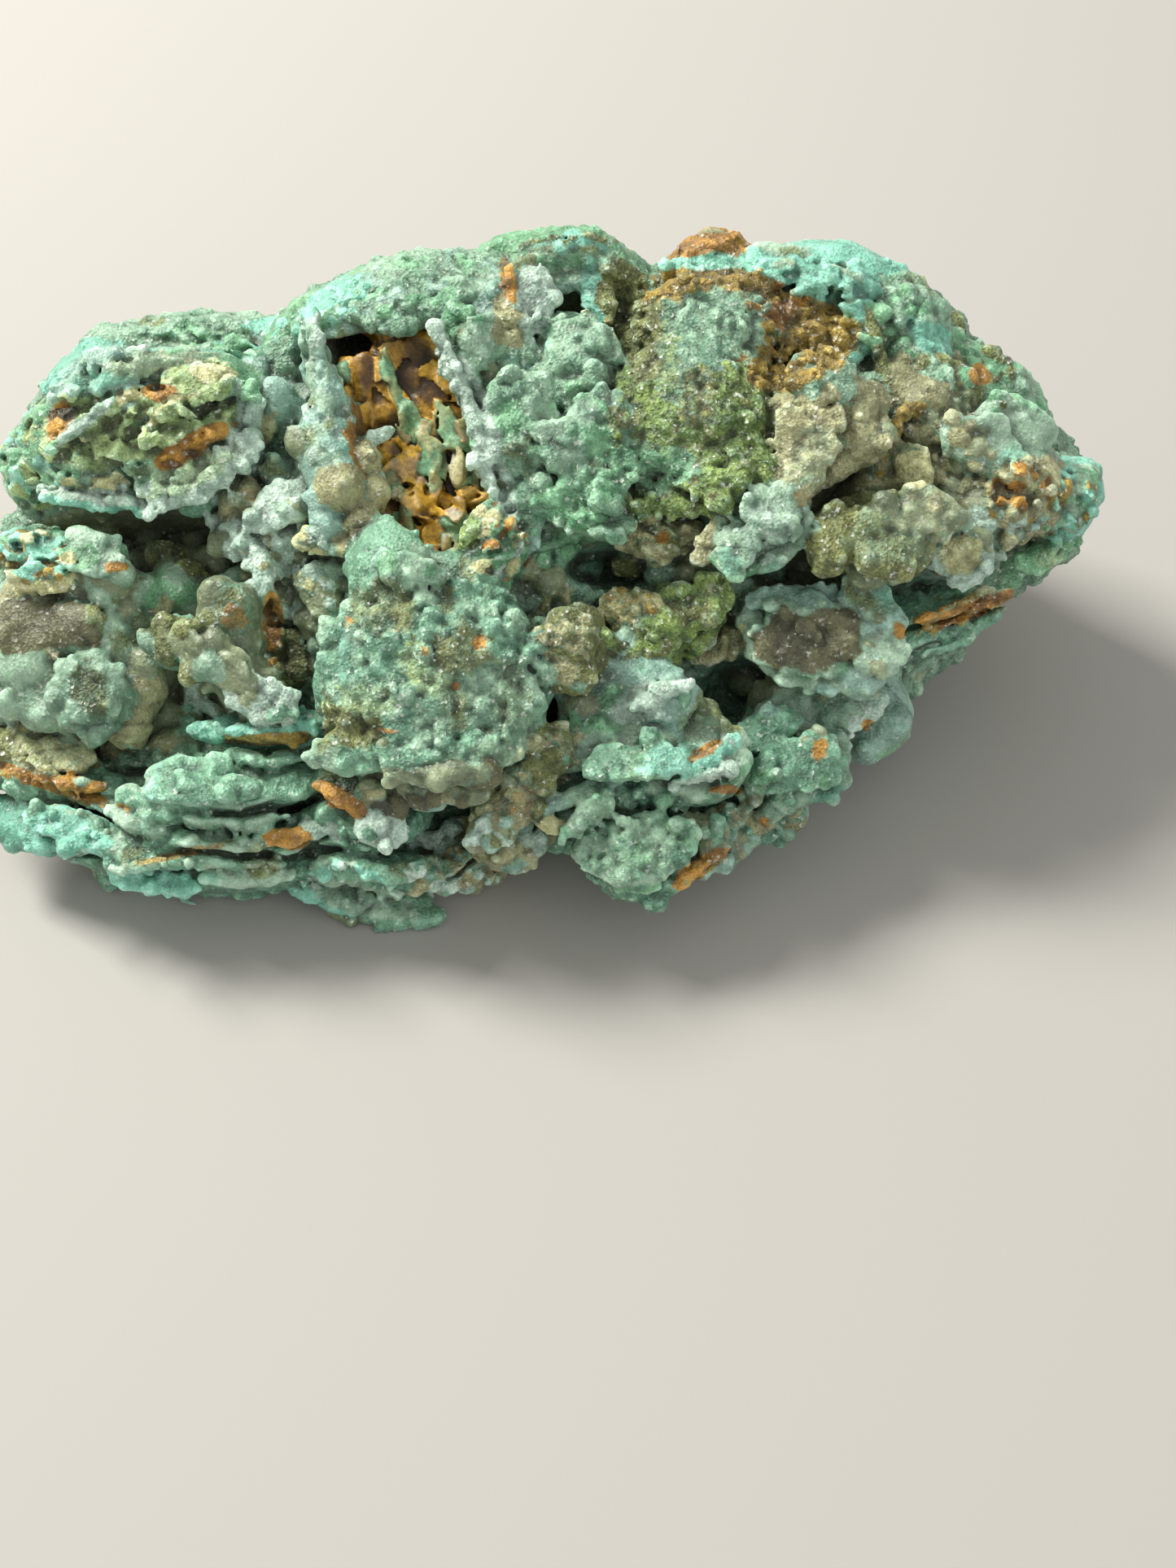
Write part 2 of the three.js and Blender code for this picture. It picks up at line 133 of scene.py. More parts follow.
# Each row: mineral, across, up, how far its middle stands proud of the core, its half sizes across, up and
# out, then spin, lean and turn in degrees where it has them. Pits and shelves have the same rows.
LUMPS = [
    # the broken nodule at the upper left
    ("green", -44.5, 17.5, 2.2, 14, 8, 7, 12),
    ("green", -56, 12.5, 3, 4.5, 5, 5.5),
    ("druse", -40, 26.0, 0, 11, 3.6, 5, 4),
    ("turquoise", -50, 23.4, 0.5, 5.5, 3.0, 4.5, 24),
    ("turquoise", -34, 23.5, 0, 9, 4.6, 6, 4),
    ("blue", -30.5, 19, 0, 5, 6, 5),
    # the left side
    ("grape", -40, 0, -4, 12, 4, 5),
    ("teal", -36, -30, -1, 18, 5.5, 7),
    ("teal", -16, -31, 0, 9, 6, 7),
    ("aqua", -55, -8, 0, 9.5, 9, 5),
    ("pale", -31.5, -1.5, 1, 3, 6, 4),
    ("grape", -35.2, -3.8, 3.0, 3.6, 3.4, 2.8),
    # round the window
    ("blue", -22.5, 12, 1, 4.6, 9.5, 5, 14),
    ("druse", -4, 17, 0, 4.5, 11, 5, 17),
    ("green", -6.6, 4.6, 1.4, 4.4, 4.4, 4),
    # the crest
    ("green", -23, 29.5, 1, 8, 3.8, 5, 30),
    ("druse", -13, 32.5, 1.5, 9, 4, 5, 5),
    ("green", 0.5, 35.5, 2.4, 8, 4, 5, 0),
    ("green", 7.6, 33.8, 1.0, 4.4, 3.4, 4.5, -38),
    ("blue", -4, 31, 2.5, 5, 4.5, 4.5),
    ("rust", 18.5, 36, 2, 4.5, 3, 4),
    ("turquoise", 31, 33.8, 1.8, 9.5, 3.8, 5, -6),
    ("green", 39.5, 28.5, 1, 6, 5.5, 5, -30),
    ("green", 48.5, 20.5, 1, 9, 5.5, 6, -38),
    # the middle
    ("druse", 1.5, 22, 1, 5, 6, 5),
    ("druse", 4.5, 12, 1, 6.5, 7, 5),
    ("moss", 15.5, 17, 2, 10, 9, 6, -10),
    ("ochre", 19.5, 28, 1.4, 9, 6, 5),
    ("druse", 19.5, 28.5, 3.8, 5.5, 5.5, 3.0),
    # the right side
    ("tan", 42, 19, 1, 6, 7, 5, 10),
    ("aqua", 49, 12, 1, 7, 6.5, 5),
    ("tan", 53, 9.5, 3, 5, 4.5, 4),
    ("turquoise", 58, 8.5, 2, 4.2, 5.6, 5, -30),
    ("blue", 36, -15.5, 0, 5, 5.5, 5),
    ("olive", 3.5, -7.5, 3, 3.5, 4.5, 4),
    ("teal", 9.5, -27.5, 2, 6.4, 5.6, 6),
    ("blue", 24.5, -26.5, 2, 5, 3, 3),
    # the dome and the ridge below it
    ("teal", -12.5, -11.5, 3, 12.5, 12.5, 8),
    ("teal", -17, 1.5, 2, 5, 5, 5),
    ("teal", -5, -13, 4, 5.5, 8.5, 6),
    ("brown", -2, -22.5, 4, 3.6, 9, 4.5, -42),
    ("brown", -7, -31, 3, 8, 4.5, 5, 18),
]

PITS = [
    ("grape", -46, 4.5, -1, 17, 4, 9),
    ("grape", -39, -7, 1, 12, 10, 5.2),
    ("rust", -13.9, 14.8, 1, 6.8, 14.2, 7.5, 19),
    ("grape", -21.5, 25, 0, 2.6, 3, 7),
    ("grape", 2, 30, 0, 4.5, 3, 6, -10),
    ("grape", -5.2, 12.8, 0.5, 2.4, 1.5, 4.5, -20),
    # Its umber wall is painted shade in the dark hole at the window's upper left corner.
    ("umber", -20.6, 27.4, 0.5, 3.2, 1.8, 7, 0),
    ("teal", 7, 1.5, 0, 5, 2.4, 7, -8),
    ("grape", 26.5, 2.5, 0, 7.5, 3.8, 8, -20),
    ("brown", 31.5, 10, 0, 2.8, 8, 5, -32),
    ("teal", 21, -12.5, 1, 5.5, 3.8, 8, 15),
    ("grape", 1.2, -15.5, 1, 2.6, 4.8, 8, -15),
    ("teal", 43, -2, 0, 10, 3, 8, 16),
    # Its umber wall is painted shade in the dark gap under the plates.
    ("umber", 10.5, -25.6, 3, 6.0, 1.6, 7, 5),
    ("green", 49.5, 22.5, 0, 3, 2.5, 3.5),
    ("ochre", 27, 25, 1, 4, 3.4, 1.8),
]
ARCH_CENTRE = np.array([-1.6, -39.9, -1.0])
ARCH_SIZE = np.array([7.0, 12.0, 6.5])

SHELVES = [
    ("blue", -43, 11.5, 3, 13, 3.2, 3.5, 3, 25),
    ("aqua", -55, -8, 2, 9, 9, 4.5, 0, 15, -25),
    ("aqua", -53, -13, 5, 8.5, 4.5, 3.5, -8, 25),
    ("green", -54, 2.5, 5, 7.5, 3.4, 2.4, -8, 35),
    ("aqua", -50.5, -12.8, 8, 4.4, 4.6, 3),
    ("pale", -31, 6.5, 2, 5.5, 4.5, 2.6, 20, 30),
    ("grape", -34.5, -10.5, 4, 8, 2.8, 2.6, -38, 15),
    ("blue", -24.3, 20.5, 3, 1.5, 7, 3.4, 15),
    ("druse", -6.6, 18.5, 2.5, 1.8, 11.5, 3.6, 18),
    ("tan", 30, 16.5, 3, 5.5, 7, 3, -25, 0, -20),
    ("aqua", 24.3, 6.4, 4, 4.6, 5.6, 1.8, -42, 8, -10),
    ("tan", 12.5, 5, 2, 4, 2.8, 2, 0, 30),
    ("olive", 37.5, 5.5, 3, 6, 4.2, 3.2, 0, 15),
    ("blue", 45, 3.5, 2, 6, 3.4, 3, 10, 35),
    ("teal", 43.5, -4.8, 4, 7.5, 2.6, 2.2, 22, 35),
    ("aqua", 31, -7.2, 5, 8.8, 5.2, 1.6, -8, 15),
    ("blue", 9.0, -12.2, 7.8, 7.6, 5.4, 1.5, -18, 14),
    ("aqua", 7.5, -16.5, 8.4, 6.5, 4.8, 1.7, 20, 22),
    ("aqua", 15.5, -18.5, 6.4, 7, 5.6, 1.7, -8, 20),
    ("teal", 15, -23.2, 5, 7, 2.2, 2.0, 6, 38),
    ("aqua", 29, -15, 5, 6.5, 4.0, 1.5, 18, 20),
    ("aqua", 27, -21, 6, 6.5, 4.8, 1.6, 22, 22),
    ("moss", 14, -5.5, 3, 5.5, 3.6, 2.4, 30, 20),
    ("teal", 9.8, -30.6, 6, 6.2, 4.8, 2.8, -35, 24),
    ("blue", 18.5, -29.5, 4, 6.5, 3, 2.6, 35, 35),
    ("teal", 3.5, -25, 5, 4, 2.6, 2, 40, 35),
    ("brown", -9.5, -31, 5, 6.5, 3.8, 3, 12, 30),
    ("brown", -3.5, -29, 5, 4.5, 3, 2.6, 35, 30),
    ("teal", -56, -21.5, 5, 9, 3.6, 2.4, -14, 38),
    ("turquoise", -32, -17, 5, 7, 2.6, 2, 4, 38),
    ("teal", -35, -24, 5, 11, 3.8, 2.4, 6, 38),
    ("turquoise", -54, -27.5, 5, 8.5, 3.6, 2.6, -16, 38),
    ("teal", -38, -29, 6, 13, 3.4, 2.2, 4, 38),
    ("teal", -36.5, -33, 6, 12.5, 3.2, 2.2, 0, 38),
    ("teal", -21, -24.5, 4, 8, 4, 3, -18, 38),
    ("teal", -20, -31, 6, 8, 3.6, 2.6, -10, 38),
    ("teal", -19, -35.5, 7, 7.5, 3.4, 2.6, -16, 38),
]

# Thin forms that lie on the skin. Each row: mineral, across, up, how far its middle stands proud of the
# skin, its half sizes across, up and out, then spin, lean and turn.
LEAVES = [
    # the nodule
    ("pale", -38.6, 12.4, 1.3, 7.2, 2.8, 0.8, 20, 18),
    ("pale", -51.5, 17.8, 1.6, 4.6, 0.6, 0.9, 38),
    ("pale", -38, 10.6, 1.6, 6.5, 1.3, 0.6, 27, 20),
    ("turquoise", -50.5, 9.2, 1.6, 6.5, 1.3, 0.7, -8, 20),
    ("turquoise", -47.5, 23.3, 0.8, 5, 2.4, 0.8, 8, -10),
    ("blue", -52, 21, 0.6, 4, 2.2, 0.8, 25),
    ("green", -37, 22.2, 0.8, 5.5, 1.2, 0.8, -18),
    ("green", -40.5, 20.6, 0.6, 4.5, 0.8, 0.8, 0),
    ("aqua", -50.3, 3.2, 1.4, 3.2, 2.6, 0.7, -48, 20),
    ("aqua", -48.0, 1.6, 1.2, 1.8, 0.5, 0.6, 12),
    ("cream", -56.5, 0.3, 1.2, 3.6, 1.3, 0.9, -12),
    # the hollow
    ("grape", -41.2, 0.8, 1.4, 2.3, 3.1, 1.8),
    ("brown", -46.8, -2.4, 1.0, 4.6, 2.8, 1.6, -8, 20),
    ("teal", -44, -5.2, 0.8, 6, 2.3, 1.2, -4, 25),
    ("teal", -38, -8.6, 0.8, 3.6, 2.2, 1.0, -30, 20),
    ("grape", -36.4, -8.8, 1.6, 5.6, 2.2, 1.6, -35, 10),
    ("pale", -39.2, -12.8, 1.0, 0.8, 2.4, 0.6, 5),
    ("pale", -37.2, -14.4, 1.0, 1.9, 0.6, 0.6, -30),
    ("pale", -34.5, -12.5, 0.8, 1.5, 1.2, 0.7),
    ("pale", -31, -13.8, 1.0, 2.9, 1.9, 1.1, 8),
    ("olive", -56, -18.6, 1.4, 5.6, 3.1, 1.3, -6, 22),
    ("tan", -53.5, -19.6, 1.8, 3, 2, 1, 0, 20),
    # between the hollow and the window
    ("pale", -29.5, 8.4, 1.4, 4.6, 2.0, 1.1, 38, 20),
    ("blue", -24.8, 8.0, 0.8, 1.6, 3.2, 0.9, 10),
    ("umber", -55.5, -5, 0.8, 5.5, 2.4, 1.2, -6, 15),
    ("cream", -23.6, 4.8, 1.4, 3.6, 1.9, 1.5, 8),
    ("grape", -24.8, -0.5, 0.8, 2.4, 2.4, 1.2),
    ("olive", -28.6, -8.4, 0.8, 3.0, 3.6, 1.3),
    # rims of the window
    ("pale", -24.2, 22.3, 1.2, 0.8, 6.5, 1.6, 14),
    ("pale", -20.5, 15.3, 1.4, 3.6, 0.8, 1.2, 20),
    ("pale", -19.0, 12.6, 1.0, 0.8, 3.4, 1.6, 28),
    ("pale", -8.0, 18.6, 1.6, 0.8, 10, 1.6, 19),
    ("aqua", -7.2, 26.9, 1.8, 2.4, 2.2, 2.0),
    ("tan", -4.4, 28.4, 1.4, 1.7, 2.6, 1.8),
    ("blue", -15.2, 1.4, 1.0, 3.6, 1.5, 1.2, -12, 20),
    ("blue", -2.6, 8.4, 1.2, 2.0, 4.6, 1.4, 14),
    # the crest
    ("blue", -23.5, 28.7, 1.2, 5.5, 1.6, 1.2, 8, 30),
    ("druse", -15.8, 30.3, 1.2, 4.6, 2.6, 1.8, 15, 25),
    ("blue", -8.5, 30.5, 1.0, 3.4, 3, 1.2, -20),
    ("pale", -2.8, 31.3, 1.0, 3.6, 3.2, 1.0, 30),
    ("olive", -2.2, 34.2, 1.2, 0.8, 2.6, 0.9, -12),
    ("rust", -3.9, 33.6, 1.6, 0.7, 2.7, 0.8, 8),
    ("turquoise", 5.4, 33.5, 0.8, 2.0, 4.5, 1.1, 8),
    ("blue", 1.5, 33.4, 1.0, 3.6, 1.2, 1.0, 8, 20),
    # the druse
    ("druse", -3.0, 20.2, 1.4, 2.8, 2.8, 1.6),
    ("druse", -2.8, 15.0, 1.4, 3.0, 2.8, 1.6),
    ("druse", 2.5, 15.5, 1.2, 2.8, 2.6, 1.4),
    ("druse", -2.6, 16.4, 0.8, 4.2, 4.3, 1.5, 0, 12),
    ("druse", 4.2, 24.0, 0.8, 4.0, 5.2, 1.6, 0, 5),
    ("druse", 6.5, 17.2, 0.6, 3.4, 4.2, 1.4),
    ("druse", 6.3, 12.0, 0.8, 4.0, 3.2, 1.4, 0, 15),
    ("teal", 0.3, 9.4, 0.8, 3.4, 2.4, 1.3, -12, 20),
    ("druse", 4.6, 7.2, 1.0, 4.6, 2.2, 1.4, -12, 25),
    # the moss and the crown over it
    ("moss", 14, 9.4, 0.6, 7, 2.2, 1.4, 4, 25),
    ("moss", 20, 13.2, 0.6, 5, 3.5, 1.4, 0, 15),
    ("turquoise", 29.5, 34.0, 1.0, 6.5, 1.5, 1.2, -10, 10),
    ("turquoise", 35.4, 30.4, 1.0, 1.4, 5, 1.3, 8),
    ("rust", 28.3, 29.2, 0.8, 2.6, 2.6, 0.9, 20),
    ("turquoise", 33.6, 27.4, 0.9, 3.2, 2.6, 1.1, -40, 10),
    ("turquoise", 17, 35.2, 1.0, 3.6, 1.2, 1.0, 4, 20),
    ("aqua", 26.5, 36.2, 0.8, 4, 1.2, 1.0),
    ("olive", 37.0, 26.4, 1.0, 0.7, 4.6, 1.4, 12),
    ("druse", 31, 22.8, 0.8, 3.8, 2.6, 1.2, -20, 15),
    # the flap
    ("tan", 29.2, 14.5, 1.0, 3.0, 6.0, 1.0, -25, 0, -10),
    ("tan", 28.0, 10.8, 1.2, 1.6, 2.6, 1.0, -35),
    ("aqua", 25.2, 7.6, 0.8, 3.4, 2.4, 0.8, -42, 8),
    ("aqua", 21.3, 3.6, 1.0, 2.1, 3.4, 0.7, -18, 12),
    ("tan", 18.8, 4.6, 0.8, 1.2, 3.4, 0.6, -30, 10),
    # the right side
    ("ochre", 38.7, 15.7, 1.2, 0.5, 4.2, 1.6, -22),
    ("cream", 41.6, 12.3, 3.4, 1.7, 2.4, 1.0, 20),
    ("olive", 38, 5.0, 1.8, 3.6, 3.2, 0.8),
    ("olive", 38.6, 8.2, 1.9, 2.2, 1.9, 0.7),
    ("olive", 35.6, 6.4, 1.5, 2.2, 2.0, 0.7),
    ("olive", 41.2, 4.4, 1.5, 2.2, 2.3, 0.7),
    ("olive", 38.4, 2.0, 1.3, 2.6, 1.6, 0.8),
    ("olive", 31.8, 4.6, 0.8, 2.4, 3.6, 1.4, -15),
    ("grape", 42.5, 8.2, 0.8, 3.6, 2.6, 1.4, -20),
    ("pale", 46.4, 3.0, 3.0, 2.8, 2.8, 1.2),
    ("ochre", 45.5, 1.4, 1.0, 2.6, 0.6, 1.2, 0, 20),
    ("aqua", 49, 15, 0.6, 5, 2.8, 1.4, -30, 10),
    ("aqua", 52, 17.5, 0.6, 4.5, 3.5, 1.4, -40),
    ("green", 56.2, 3.4, 2.2, 3.6, 1.6, 1.2, 25),
    # under the right side
    ("teal", 41, -1.5, 1.0, 5.5, 2.2, 1.2, -5, 30),
    ("rust", 45, -3.6, 1.6, 4.6, 0.6, 1.2, 20, 30),
    ("tan", 49.4, -1.9, 1.2, 2.6, 0.8, 1.1, 15, 20),
    ("aqua", 36.5, -5.2, 1.6, 3, 3.4, 0.9, -15, 15),
    ("aqua", 37.6, -8.4, 2.2, 2.6, 1.9, 0.8, 10, 15),
    ("blue", 28.5, -2.4, 1.2, 5.5, 1.9, 0.9, -3, 20),
    ("blue", 35.6, -2.0, 1.2, 2.4, 2.8, 0.9, 20, 15),
    ("aqua", 30.5, -3.4, 1.2, 6.0, 1.4, 0.7, -6, 25),
    ("aqua", 29.8, -6.6, 0.5, 6.2, 4.0, 1.2, 2, 8),
    # the plates
    ("olive", 2.2, -7.8, 1.2, 3.2, 4.0, 1.8),
    ("cream", 9.1, -3.0, 4.0, 2.5, 2.0, 1.5),
    ("moss", 15.5, -3.8, 1.0, 5.6, 2.8, 1.0, 35, 15),
    ("tan", 20.5, -6.4, 1.2, 4.2, 1.8, 1.1, 35, 15),
    # Its pale colour paints the highlight along the ridge of the middle plates.
    ("pale", 12.8, -12.6, 1.2, 3.6, 0.8, 0.8, 25),
    ("teal", 10, -20.5, 1.0, 5.5, 2.0, 1.1, 8, 30),
    ("turquoise", 19, -19.5, 1.2, 3.2, 0.9, 0.9, 35),
    ("pale", 17.6, -21.8, 1.2, 3.4, 0.5, 0.8, 10, 20),
    ("aqua", 29.5, -14.2, 1.4, 5.4, 2.8, 0.8, 8, 12),
    ("pale", 34.8, -13.6, 1.6, 2.8, 2.8, 0.8, 25, 10),
    ("teal", 27.5, -20.8, 1.4, 5.4, 2.8, 0.8, 18, 15),
    ("teal", 24.8, -16.6, 1.2, 3.6, 2.2, 0.8, 30, 15),
    ("rust", 30.7, -18.8, 1.6, 0.9, 1.5, 0.8, -18),
    ("tan", 23.5, -26.3, 1.2, 2.8, 1.4, 1.1, 10),
    # the root of the plates
    ("teal", 12, -28.8, 1.2, 4.6, 2.6, 1.0, -10, 15),
    ("aqua", 8, -31, 1.2, 4.5, 2.8, 1.2, -25, 25),
    ("green", 10, -33.4, 1.4, 2.4, 1.2, 1.0),
    ("rust", 17.3, -31.8, 1.2, 3.8, 0.8, 1.0, 32, 20),
    ("grape", 17.5, -28.2, 1.0, 3, 2.2, 1.2),
    # the lower edge of the dome
    ("teal", -21.5, -19.4, 1.2, 5.2, 2.4, 1.3, -8, 20),
    ("teal", -13, -20.2, 1.2, 5.4, 2.4, 1.3, 6, 25),
    ("teal", -6.5, -19.2, 1.2, 4, 2.6, 1.3, 30, 20),
    ("grape", -17.7, -23.4, 1.0, 3.0, 2.0, 1.3),
    ("blue", -13.2, -23.2, 1.0, 2.4, 2.0, 1.3),
    ("grape", -9.1, -22.6, 1.0, 2.4, 1.8, 1.2),
    ("pale", -24.5, -27.4, 1.4, 3.2, 0.9, 0.8, 0, 20),
    ("pale", -18.5, -27.8, 1.4, 2.6, 2.0, 1.0, -20, 15),
    ("pale", -12.6, -29.4, 1.4, 2.8, 1.2, 0.9, -12, 15),
    # the ridge and the foot
    ("brown", -3.5, -25, 1.2, 2.4, 5.6, 1.4, -42),
    ("olive", -1.0, -20.2, 1.0, 2.6, 4.2, 1.3, -35),
    ("tan", -5.6, -27.2, 1.2, 2.4, 1.8, 1.1, -20),
    ("blue", 3.5, -24.0, 1.6, 4.6, 0.9, 1.0, 22, 25),
    ("teal", 4.2, -26.2, 1.2, 0.9, 3.4, 1.2, -38),
    ("cream", 0.6, -27, 1.2, 1.8, 0.9, 0.8, -30),
    ("olive", -8.5, -29, 1.0, 3, 3, 1.2),
    ("tan", -9.4, -32.6, 1.4, 5, 1.8, 1.1, 14, 25),
    # the ledges
    ("turquoise", -52.5, -27.6, 1.2, 6.4, 2.0, 0.9, -18, 30),
    ("rust", -52.5, -22.8, 1.4, 3.0, 0.9, 0.8, -8, 25),
    ("blue", -49.5, -24.8, 1.4, 5, 0.8, 0.8, -20, 30),
    ("teal", -39.5, -21.2, 1.2, 4.6, 2.4, 1.2, 0, 25),
    ("teal", -37.5, -23.6, 1.4, 6.4, 1.6, 1.0, 4, 30),
    ("turquoise", -31, -16.7, 1.4, 5.4, 0.9, 0.8, 3, 30),
    ("ochre", -31.5, -17.6, 1.2, 4.6, 0.7, 0.8, 3, 30),
    ("teal", -31.2, -19.2, 1.2, 5.8, 1.4, 1.0, 2, 30),
    ("rust", -23, -24.2, 1.4, 3.4, 1.0, 0.9, -32, 15),
    ("rust", -29, -28.7, 1.5, 2.8, 0.9, 0.8, -10, 20),
    ("aqua", -39, -29.8, 1.4, 9, 0.7, 0.8, 14, 30),
    ("aqua", -45.8, -27, 1.4, 3.4, 1.0, 0.9, -25, 25),
    ("turquoise", -44, -33.3, 1.4, 5.4, 1.5, 1.0, -6, 30),
    ("aqua", -33.5, -33, 1.4, 5.0, 1.3, 1.0, 6, 30),
    ("turquoise", -23.5, -34.6, 1.4, 4.6, 1.8, 1.0, -20, 25),
    ("teal", -20, -31.3, 1.4, 5.6, 2.2, 1.1, -6, 25),
]

# Smooth round knobs seated on the skin. Each row: mineral, across, up, radius.
KNOBS = [
    # the hollow
    ("grape", -49, 0.5, 3.2),
    ("grape", -43, 2, 2.8),
    ("grape", -36, 1.5, 3),
    ("grape", -47.3, -1.4, 3.3),
    ("grape", -41.4, 0.2, 2.5),
    ("grape", -39.3, -1.4, 2.3),
    ("teal", -46.5, -6.5, 3),
    ("teal", -41, -7, 3.2),
    ("olive", -34.8, 1.4, 2.8),
    ("grape", -35.6, -3.4, 3.0),
    ("brown", -45.2, -11.5, 3.2),
    ("grape", -42.8, -10, 2.6),
    ("brown", -46.6, -15.4, 2.9),
    ("grape", -42.6, -15.2, 2.4),
    ("brown", -42.0, -18.0, 2.1),
    ("brown", -47.5, -18.2, 2.3),
    ("grape", -38.5, -12.5, 2.4),
    ("grape", -40, -16.5, 2.4),
    ("teal", -38.8, 9.0, 1.9),
    ("brown", -33.8, 8.8, 2.7),
    ("grape", -39, 4.5, 1.8),
    ("grape", -36, 4.3, 1.7),
    ("grape", -44, 4.5, 2.0),
    ("grape", -49.5, 5.5, 2.4),
    ("tan", -57, -3.5, 4.0),
    ("aqua", -52.5, -5.5, 3),
    ("aqua", -58, -9, 3.4),
    ("brown", -54.5, -6.5, 2.6),
    # round the nodule's right end
    ("blue", -32.3, 24.1, 1.7),
    ("druse", -29, 24.5, 2.8),
    ("blue", -30.5, 20.5, 2.2),
    ("pale", -33.6, 19.3, 2.1),
    ("tan", -31.8, 16.8, 1.6),
    ("blue", -29.5, 11.6, 2.1),
    ("grape", -27.2, 15.4, 2.0),
    ("blue", -27.5, 19.6, 2.2),
    # between the hollow and the window
    ("brown", -22.7, 10.5, 2.9),
    ("tan", -20.6, 13, 2.4),
    ("brown", -19.4, 9.8, 2.3),
    ("brown", -20.6, 6.6, 2.2),
    ("grape", -27.5, 2.5, 2.2),
    ("tan", -26.4, 0.2, 1.7),
    ("grape", -28, -2, 2.4),
    ("grape", -25.5, -4.5, 2.0),
    ("teal", -23.4, -4.5, 2.6),
    # the crest
    ("druse", -17, 29.6, 2.6),
    ("teal", 2.6, 27.6, 2.6),
    ("grape", -6.5, 23.2, 1.4),
    ("druse", -2.5, 25.2, 2.0),
    ("green", -9.5, 24.5, 1.6),
    # the middle
    ("grape", -2.2, 2.2, 2.0),
    ("teal", 1.6, 4.4, 2.2),
    ("teal", 4.8, 2.5, 2.0),
    ("grape", 0.5, 0.0, 2.2),
    ("olive", 10, 2.6, 2.4),
    ("grape", 16.5, 1.4, 2.0),
    ("tan", 13, 9, 1.8),
    # the right side
    ("brown", 35.8, 19.8, 2.6),
    ("brown", 35.5, 15.5, 2.8),
    ("brown", 37, 11.6, 2.4),
    ("brown", 42.2, 19.8, 2.8),
    ("tan", 41.4, 16.4, 2.2),
    ("brown", 44.8, 17, 2.6),
    ("brown", 42.8, 13.4, 2.3),
    ("brown", 46.2, 13.5, 2.2),
    ("grape", 45, 9.4, 2.3),
    ("brown", 39.2, 22.4, 2.2),
    ("grape", 48.6, 8.3, 2.3),
    ("grape", 36, 1.2, 2.0),
    # the plates
    ("grape", 22.5, -10.4, 2.6),
    ("grape", 25.4, -13.6, 2.6),
    ("teal", 23.6, -17.2, 2.4),
    ("blue", 35.5, -10.4, 2.4),
    ("grape", 4.5, -14, 2.2),
    ("blue", 38.5, -15.8, 2.2),
    ("blue", 36, -18.6, 2.2),
    ("tan", 27.5, -26.2, 1.8),
    ("tan", 20.4, -26.8, 2.0),
    ("teal", 1.5, -28.5, 2.2),
]

